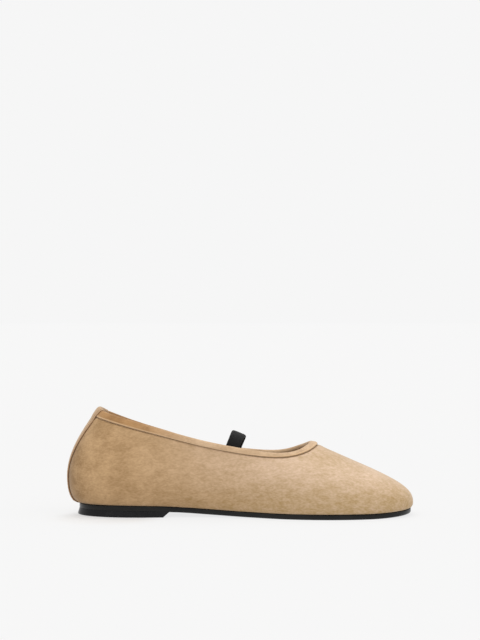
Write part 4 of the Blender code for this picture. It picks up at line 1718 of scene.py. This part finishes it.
@dataclass
class ElasticStrap:
    """Ribbed elastic over the instep, sewn to the lining at both ends."""

    last: Last
    binding: CollarBinding
    finish: Elastic = Finishes.STRAP
    width: float = 0.0106
    thickness: float = 0.0012
    station: float = 0.1193
    rise: float = 0.0122
    tab: float = 0.0140
    tilt: float = math.radians(22.0)
    rib_width: float = 0.00118
    rib_height: float = 0.00016
    edge_curl: float = 0.0007
    rib_inset: float = 0.6
    curl_start: float = 1.2
    curl_power: int = 6
    row_step: float = 0.0008
    softness: float = 0.0012
    step: int = 3
    arch_rise: float = 0.7
    arch_spread: float = 0.28
    columns: int = 73
    coarse_columns: int = 9
    arch_steps: int = 24
    collar_search: Range = (0.05, 0.62)
    collar_samples: int = 300
    tack_rows: tuple[int, int] = (3, 9)
    tack_margin: int = 6
    grid: np.ndarray = field(init=False)
    places: np.ndarray = field(init=False)

    def collar_station(self, x: float, side: Side) -> float:
        """Place round the last where the collar lies at a distance from the back.

        Args:
            x: the distance.
            side: which side of the shoe.

        Returns:
            The place.
        """
        places = np.linspace(*self.collar_search, self.collar_samples)
        u = places if side is Side.INNER else 2.0 - places
        return float(np.interp(x, self.last.skin(u, np.full(len(u), 2.0))[:, 0], u))

    def sewn_end(self, side: Side, columns: np.ndarray) -> np.ndarray:
        """Sewn end of the strap, from its foot to just above the bound collar.

        Args:
            side: which side of the shoe.
            columns: places across the strap.

        Returns:
            Grid of points (rows, columns, 3).
        """
        last, binding = self.last, self.binding
        near = -(last.upper_wall + last.gap + self.thickness / 2)
        past = near - binding.thickness - last.gap
        rows = (
            (self.tab, near),
            ((self.tab + binding.depth) / 2, near),
            (binding.depth + self.step * self.thickness, near),
            (binding.depth + last.gap, past),
            (binding.depth / 2, past),
            (0.0, past),
            (-binding.thickness - 2 * last.gap, past),
        )
        grid = []
        for depth, offset in rows:
            x = self.station + columns * math.cos(self.tilt) - depth * math.sin(self.tilt)
            u = np.array([self.collar_station(place, side) for place in x])
            grid.append(last.wall_grid(u, np.full((1, 1), depth), np.full((1, 1), offset))[0])
        return np.array(grid)

    def middle(self, columns: np.ndarray) -> np.ndarray:
        """Middle of the strap: one sewn end, the arch over the instep, the other sewn end.

        Args:
            columns: places across the strap.

        Returns:
            Grid of points (rows, columns, 3).
        """
        ends = [self.sewn_end(side, columns) for side in (Side.INNER, Side.OUTER)]
        up = np.array([math.sin(self.tilt), 0.0, math.cos(self.tilt)])
        forward = np.array([math.cos(self.tilt), 0.0, -math.sin(self.tilt)])
        feet = [end[-1] for end in ends]
        top = (feet[0] + feet[1])[len(columns) // 2] / 2 + up * self.rise
        crown = top + forward * columns[:, None]
        halves = []
        for end, foot, other in zip(ends, feet, feet[::-1]):
            rising = end[-1] - end[-2]
            rising[:, 0] = rising[:, 2] * math.tan(self.tilt)
            above = foot + unit(rising) * self.rise * self.arch_rise
            beside = crown + (foot - other) * self.arch_spread
            controls = (foot, above, beside, crown)
            shares = np.linspace(0.0, 1.0, self.arch_steps + 1)[1:]
            halves.append(np.array([bezier(controls, np.full(len(columns), share)) for share in shares]))
        return np.concatenate([ends[0], halves[0], halves[1][-2::-1], ends[1][::-1]])

    def make(self) -> bpy.types.Object:
        """Builds the strap, then raises its ribs.

        Returns:
            The piece.
        """
        half = self.thickness / 2
        coarse = np.linspace(-0.5, 0.5, self.coarse_columns) * self.width
        grid = resample_rows(self.middle(coarse), self.row_step, self.softness)
        turns = np.linspace(-1.0, 1.0, self.columns)
        places = turns * self.width / 2
        room = np.clip((self.width / 2 - np.abs(places)) / half, 0.0, 1.0)
        thick = half * np.sqrt(1.0 - (1.0 - room) ** 2) - self.rib_height * self.rib_inset * (room > 0)
        thick = np.maximum(thick, 0.0)
        fine = np.stack([[np.interp(places, coarse, row[:, k]) for row in grid] for k in range(3)], axis=2)
        ends = np.minimum(np.arange(len(fine)), np.arange(len(fine))[::-1]) * self.row_step
        free = np.clip(ends / self.tab - self.curl_start, 0.0, 1.0)[:, None]
        curl = self.edge_curl * free * np.abs(turns)[None] ** self.curl_power
        normal = Ribbon.normals(fine)
        if normal[len(fine) // 2, self.columns // 2, 2] < 0:
            normal = -normal
        self.grid = fine - normal * curl[:, :, None]
        self.places = places
        piece = Ribbon(self.grid, thick, places).make("elastic_strap_woven", self.last, self.finish)
        values = {
            "Rib Width": self.rib_width,
            "Rib Height": self.rib_height,
            "Elastic": self.finish.material(),
        }
        return grow(piece, RibTree().tree(), values)

    def tacks(self) -> list[tuple[np.ndarray, np.ndarray]]:
        """Two rows of stitches across each sewn end.

        Returns:
            For each row its line, and the direction out of the strap into the shoe.
        """
        normal = Ribbon.normals(self.grid)
        found = []
        inside = slice(self.tack_margin, len(self.places) - self.tack_margin)
        for row in self.tack_rows:
            for index in (row, len(self.grid) - 1 - row):
                out = normal[index, inside]
                line = self.grid[index, inside]
                middle = len(line) // 2
                if out[middle][1] * line[middle][1] > 0:
                    out = -out
                found.append((line + out * (self.thickness / 2), out))
        return found


@dataclass
class Bottom:
    """Outsole, heel and sock, cut to the last's outline."""

    last: Last
    edge_top: float = 0.0005
    edge_bottom: float = 0.0012
    heel_length: float = 0.0624
    heel_flare: float = 0.0012
    breast_slant: float = 0.0042
    joint: float = 0.00004
    sock_thickness: float = 0.0020
    sock_fit: float = 0.0006
    rim_inset: float = 0.0005
    rim_rise: float = 0.00015
    dish_depth: float = 0.0006
    heel_dish_place: float = 0.17
    heel_dish_reach: float = 0.040
    ball_dish_place: float = 0.66
    ball_dish_reach: float = 0.045
    ball_dish_share: float = 0.7
    crisp_share: float = 0.15
    crisp_reach: float = 0.008
    sharp_angle: float = math.radians(35.0)
    heel_ease: float = 1.2
    stations_a_side: int = 240
    columns: int = 16
    upper_turns: int = 5
    lower_turns: int = 8
    heel_steps: int = 60
    heel_rings: int = 7
    outline_search: Range = (0.01, 0.95)
    outline_samples: int = 400
    wall_reach: float = 1.6
    wall_samples: int = 41

    def ring(self, u: np.ndarray, outset: float, level: Heights) -> np.ndarray:
        """Ring on the sole's outline, moved by outset, at the level of each place along the shoe."""
        plan = self.last.outline(u, outset)[0]
        return np.column_stack([plan, level(plan[:, 0])])

    def stations(self) -> np.ndarray:
        """Even places round the last."""
        return places_round(2 * self.stations_a_side)

    def outsole(self) -> bpy.types.Object:
        """Thin sole with its edge rounded above and below.

        Returns:
            The piece.
        """
        last = self.last
        u = self.stations()
        rings = []
        for turn in np.linspace(0.0, math.pi / 2, self.upper_turns):
            rise = self.edge_top * (1.0 - math.cos(turn))
            inset = self.edge_top * (1.0 - math.sin(turn))
            rings.append(self.ring(u, -inset, lambda x, drop=rise: last.seat_height(x) - drop))
        soft = self.bottom_softness(last.outline(u)[0][:, 0])
        for turn in np.linspace(0.0, math.pi / 2, self.lower_turns):
            ring = self.ring(u, -soft * (1.0 - math.cos(turn)), last.underside)
            ring[:, 2] += soft * (1.0 - math.sin(turn))
            rings.append(ring)
        draft = Draft()
        numbers = draft.place(np.array(rings))
        draft.cover(numbers, close_columns=True)
        draft.cap(numbers[0], self.columns, lambda x, share: last.seat_height(x))
        draft.cap(numbers[-1], self.columns, lambda x, share: last.underside(x))
        return draft.finish("outsole_rubber", last, Finishes.SOLE)

    def bottom_softness(self, x: np.ndarray) -> np.ndarray:
        """Radius of the sole's lower edge, which is crisp where it meets the heel.

        Args:
            x: distances from the back.

        Returns:
            One radius for each.
        """
        breast = SOLE_ROWS[0].along * self.last.length + self.heel_length + self.breast_slant
        ahead = np.clip((x - breast) / self.crisp_reach, 0.0, 1.0)
        soft = (1.0 - self.crisp_share) * ahead**2 * (3 - 2 * ahead)
        return self.edge_bottom * (self.crisp_share + soft)

    def station_at(self, x: float, side: Side) -> float:
        """Place on the sole's outline at a distance from the back.

        Args:
            x: the distance.
            side: which side of the shoe.

        Returns:
            The place round the last.
        """
        places = np.linspace(*self.outline_search, self.outline_samples)
        u = places if side is Side.INNER else 2.0 - places
        found = float(np.interp(x, self.last.outline(u)[0][:, 0], places))
        return self.last.share_place(found, side)

    def heel_ring(self, breast: float, outset: float, level: Heights) -> np.ndarray:
        """Ring of the heel from the back to its breast, whose points pair off across the shoe.

        Args:
            breast: distance of the breast from the back.
            outset: how far the ring is moved outwards.
            level: height of a point from its place along the shoe.

        Returns:
            The ring's points.
        """
        ease = np.linspace(0.0, 1.0, self.heel_steps + 1) ** self.heel_ease
        first = self.ring(ease * self.station_at(breast, Side.INNER), outset, level)
        second = self.ring(2.0 - ease * (2.0 - self.station_at(breast, Side.OUTER)), outset, level)
        shares = np.linspace(0.0, 1.0, self.columns + 1)[:, None]
        front = first[-1] + (second[-1] - first[-1]) * shares
        front[:, 0] = breast
        front[:, 2] = level(np.array([breast]))[0]
        return np.concatenate([first[:-1], front, second[-2:0:-1]])

    def heel(self) -> bpy.types.Object:
        """Low heel with a slanted breast, a little wider at the floor.

        Returns:
            The piece.
        """
        last = self.last
        breast = SOLE_ROWS[0].along * last.length + self.heel_length
        soft = self.edge_top
        rings = []
        for share in np.linspace(0.0, 1.0, self.heel_rings):

            def level(x: np.ndarray, share: float = share) -> np.ndarray:
                """Height of a ring between the sole's underside and the soft lower edge."""
                return (last.underside(x) - self.joint) * (1.0 - share) + soft * share

            front = breast + self.breast_slant * (1.0 - share * (1.0 - soft / last.heel_lift))
            rings.append(self.heel_ring(front, self.heel_flare * share, level))
        for turn in np.linspace(0.0, math.pi / 2, self.upper_turns)[1:]:
            rise = soft * (1.0 - math.sin(turn))
            outset = self.heel_flare - soft * (1.0 - math.cos(turn))
            front = breast + self.breast_slant * rise / last.heel_lift
            rings.append(self.heel_ring(front, outset, lambda x, up=rise: 0 * x + up))
        draft = Draft()
        numbers = draft.place(np.array(rings))
        draft.cover(numbers, close_columns=True)
        front = self.columns - 1
        draft.cap(numbers[0], self.columns, lambda x, share: last.underside(x) - self.joint, front)
        draft.cap(numbers[-1], self.columns, lambda x, share: 0 * x, front)
        piece = draft.finish("heel_block_rubber", last, Finishes.HEEL)
        piece.data.set_sharp_from_angle(angle=self.sharp_angle)
        return piece

    def inside_ring(self, u: np.ndarray, above_seat: float, clearance: float) -> np.ndarray:
        """Ring just inside the upper's wall.

        Args:
            u: places round the last.
            above_seat: its height above the seat.
            clearance: its distance from the wall.

        Returns:
            The ring's points.
        """
        last = self.last
        samples = np.linspace(0.0, self.wall_reach, self.wall_samples)
        count = len(samples)
        places, t = np.repeat(u, count), np.tile(samples, len(u))
        lines = last.skin(places, t) - last.skin_normal(places, t) * (last.upper_wall + clearance)
        lines = lines.reshape(len(u), count, 3)
        heights = np.maximum.accumulate(lines[:, :, 2] - last.seat_height(lines[:, :, 0]), axis=1)
        ring = []
        for line, height in zip(lines, heights):
            share = np.interp(above_seat, height, np.arange(count))
            low = int(min(share, count - 2))
            ring.append(line[low] + (line[low + 1] - line[low]) * (share - low))
        return np.array(ring)

    def sock(self) -> bpy.types.Object:
        """Sock on its board, with a shallow dish under the heel and the ball.

        Returns:
            The piece.
        """
        last = self.last
        u = self.stations()
        base = last.gap + last.upper_wall + last.gap
        top = base + self.sock_thickness
        low = self.ring(u, -last.feather_inset - self.sock_fit, lambda x: last.seat_height(x) + base)
        high = self.inside_ring(u, top, self.sock_fit)
        inward = unit(np.array([last.length / 2, 0.0, 0.0]) - high)
        rim = high + inward * np.array([self.rim_inset, self.rim_inset, 0.0])
        rim = rim + np.array([0.0, 0.0, self.rim_rise])
        draft = Draft()
        numbers = draft.place(np.array([low, high, rim]))
        draft.cover(numbers, close_columns=True)
        draft.cap(numbers[0], self.columns, lambda x, share: last.seat_height(x) + base)

        def dish(x: np.ndarray, share: np.ndarray) -> np.ndarray:
            """Height of the sock's top, lower in the middle of the heel and of the ball.

            Args:
                x: place along the shoe.
                share: share of the way from the middle line to the edge.

            Returns:
                The height.
            """
            heel = hump(x - self.heel_dish_place * last.length, self.heel_dish_reach)
            ball = hump(x - self.ball_dish_place * last.length, self.ball_dish_reach)
            hollow = heel + self.ball_dish_share * ball
            rim_level = last.seat_height(x) + top + self.rim_rise
            return rim_level - self.dish_depth * hollow * (1.0 - share**2)

        draft.cap(numbers[2], self.columns, dish)
        return draft.finish("insole_sock", last, Finishes.SOCK)


@dataclass(frozen=True)
class StageFinish:
    """Matt pale paper that glows a little, so that shadows on it stay faint."""

    tone: float = 0.922
    glow: float = 0.84
    albedo: float = 0.80
    heel_glow: float = 0.30
    heel_place: Triple = (-0.095, -0.032, 0.0)
    heel_reach: float = 0.026
    heel_fade: Range = (0.8, 1.8)

    def material(self) -> bpy.types.Material:
        """Makes the floor's material, which takes more shadow beside the heel.

        Returns:
            The material.
        """
        material = bpy.data.materials.new("pale_floor")
        material.use_nodes = True
        tree = material.node_tree
        tree.nodes.clear()
        sheet = NodeSheet(tree)
        glow = sheet.add("ShaderNodeEmission", {"Color": (1.0, 1.0, 1.0, 1.0), "Strength": self.tone})
        paper = sheet.add("ShaderNodeBsdfDiffuse", {"Color": (self.albedo, self.albedo, self.albedo, 1.0)})
        where = sheet.add("ShaderNodeTexCoord").outputs["Object"]
        away = sheet.add("ShaderNodeVectorMath", {0: where, 1: self.heel_place}, operation="DISTANCE")
        near, far = (self.heel_reach * share for share in self.heel_fade)
        share = sheet.spread(away.outputs["Value"], near, far, 1.0 - self.heel_glow, 1.0 - self.glow)
        both = sheet.add("ShaderNodeMixShader", {0: share, 1: glow.outputs[0], 2: paper.outputs[0]})
        sheet.add("ShaderNodeOutputMaterial", {0: both.outputs[0]})
        return material


class Sun(NamedTuple):
    """A soft light from one direction, even over the whole floor."""

    name: str
    source: Triple  # direction that the light comes from
    strength: float  # light on a face that looks at it, in watts a square metre
    spread: float  # how wide it looks, in degrees


@dataclass
class Studio:
    """Pale floor, soft light and the camera at the photograph's view."""

    photo_height: int = 640
    metres_a_pixel: float = 0.0007246
    distance: float = 1.18
    camera_height: float = 0.140
    aim: float = 0.00035
    yaw: float = math.radians(1.0)
    sensor: float = 36.0
    floor_reach: float = 60.0
    floor_drop: float = 0.00005
    backdrop: float = 0.922
    ambience: float = 0.60
    ambience_tint: Colour = (1.0, 0.99, 0.98)
    suns: tuple[Sun, ...] = (
        Sun("key_light", (-0.30, -0.66, 1.22), 1.15, 50.0),
        Sun("toe_light", (1.25, -0.30, 1.05), 0.62, 60.0),
        Sun("back_light", (0.05, 0.80, 1.25), 0.70, 45.0),
    )

    def build(self) -> None:
        """Puts up the stage."""
        self.floor()
        self.world()
        for sun in self.suns:
            self.light(sun)
        self.camera()

    def floor(self) -> None:
        """Floor that runs to the horizon."""
        mesh = bpy.data.meshes.new("floor")
        signs = ((-1, -1), (1, -1), (1, 1), (-1, 1))
        corners = [(x * self.floor_reach, y * self.floor_reach, -self.floor_drop) for x, y in signs]
        mesh.from_pydata(corners, [], [(0, 1, 2, 3)])
        mesh.materials.append(StageFinish(tone=self.backdrop).material())
        floor = bpy.data.objects.new("floor", mesh)
        bpy.context.scene.collection.objects.link(floor)

    def world(self) -> None:
        """Even pale surroundings, dimmer as a light than they look."""
        world = bpy.data.worlds.new("studio")
        world.use_nodes = True
        tree = world.node_tree
        tree.nodes.clear()
        sheet = NodeSheet(tree)
        seen = sheet.add("ShaderNodeBackground", {"Color": (1.0, 1.0, 1.0, 1.0), "Strength": self.backdrop})
        lit = sheet.add("ShaderNodeBackground", {"Color": self.ambience_tint, "Strength": self.ambience})
        path = sheet.add("ShaderNodeLightPath").outputs["Is Camera Ray"]
        both = sheet.add("ShaderNodeMixShader", {0: path, 1: lit.outputs[0], 2: seen.outputs[0]})
        sheet.add("ShaderNodeOutputWorld", {0: both.outputs[0]})
        bpy.context.scene.world = world

    def light(self, sun: Sun) -> None:
        """Puts up one light.

        Args:
            sun: the light.
        """
        light = bpy.data.lights.new(sun.name, "SUN")
        light.energy = sun.strength
        light.angle = math.radians(sun.spread)
        lamp = bpy.data.objects.new(sun.name, light)
        lamp.rotation_euler = Vector(sun.source).to_track_quat("Z", "Y").to_euler()
        bpy.context.scene.collection.objects.link(lamp)

    def camera(self) -> None:
        """Level camera at the inner side of the shoe, turned a little with it."""
        data = bpy.data.cameras.new("camera")
        data.sensor_width = self.sensor
        data.lens = self.sensor * self.distance / (self.photo_height * self.metres_a_pixel)
        camera = bpy.data.objects.new("camera", data)
        x = math.sin(self.yaw) * self.distance + self.aim
        y = -math.cos(self.yaw) * self.distance
        camera.location = (x, y, self.camera_height)
        camera.rotation_euler = (math.pi / 2, 0.0, self.yaw)
        bpy.context.scene.collection.objects.link(camera)
        bpy.context.scene.camera = camera


@dataclass
class BalletFlat:
    """The whole shoe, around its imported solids."""

    frame: dict[str, Any]

    def keep(self, piece: bpy.types.Object, finish: Finish, *nodes: str) -> None:
        """Seats a finished piece on its body and reports it.

        Args:
            piece: the piece.
            finish: its finish; not used.
            nodes: the solids that it stands for.
        """
        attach(piece, BODY)
        if nodes:
            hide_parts(*nodes)
        piece.data.calc_loop_triangles()
        LOG.info("%s: %d triangles", piece.name, len(piece.data.loop_triangles))

    def last(self) -> Last:
        """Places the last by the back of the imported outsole, where its outline starts.

        Returns:
            The last.
        """
        sole = self.frame["nodes"]["outsole"].data
        back = min((vertex.co for vertex in sole.vertices), key=lambda point: point.x)
        last = Last()
        last.place = np.array([back.x - SOLE_ROWS[0].along * last.length, back.y, 0.0])
        return last

    def build(self) -> None:
        """Builds and seats every piece."""
        last = self.last()
        binding = CollarBinding(last)
        self.keep(binding.make(), binding.finish, "collar_binding")
        upper = SuedeUpper(last, binding)
        self.keep(upper.make(), upper.finish, "upper")
        lining = Lining(last)
        self.keep(lining.make(), lining.finish)
        strip = HeelStrip(last, binding)
        self.keep(strip.make(), strip.finish, "heel_strip")
        strap = ElasticStrap(last, binding)
        self.keep(strap.make(), strap.finish, "elastic_strap")
        bottom = Bottom(last)
        self.keep(bottom.outsole(), Finishes.SOLE, "outsole")
        self.keep(bottom.heel(), Finishes.HEEL, "heel_block")
        self.keep(bottom.sock(), Finishes.SOCK, "insole")
        self.sew(last, binding, strip, strap)

    def sew(self, last: Last, binding: CollarBinding, strip: HeelStrip, strap: ElasticStrap) -> None:
        """Sews the binding, the heel strip and the strap.

        Args:
            last: gives the place of the last's frame.
            binding: the made binding.
            strip: the made heel strip.
            strap: the made strap.
        """
        camel = Stitching(last, Finishes.SUEDE_THREAD)
        self.keep(camel.row("binding_stitches", *binding.ditch(), True, 1), camel.finish)
        self.keep(camel.row("binding_inside_stitches", *binding.inside(), True, 2), camel.finish)
        for number, (line, out) in enumerate(strip.seams()):
            self.keep(camel.row(f"strip_stitches_{number + 1}", line, out, False, 3 + number), camel.finish)
        black = Stitching(last, Finishes.BLACK_THREAD, pitch=0.0016, stitch=0.0014, thread=0.00030)
        for number, (line, out) in enumerate(strap.tacks()):
            self.keep(black.row(f"strap_tack_{number + 1}", line, out, False, 5 + number), black.finish)


def main() -> None:
    """Builds the shoe and its studio."""
    logging.basicConfig(level=logging.INFO, format="%(name)s %(message)s")
    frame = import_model()
    BalletFlat(frame).build()
    Studio().build()
    bpy.context.scene.view_settings.view_transform = "Standard"


if __name__ == "__main__":
    main()
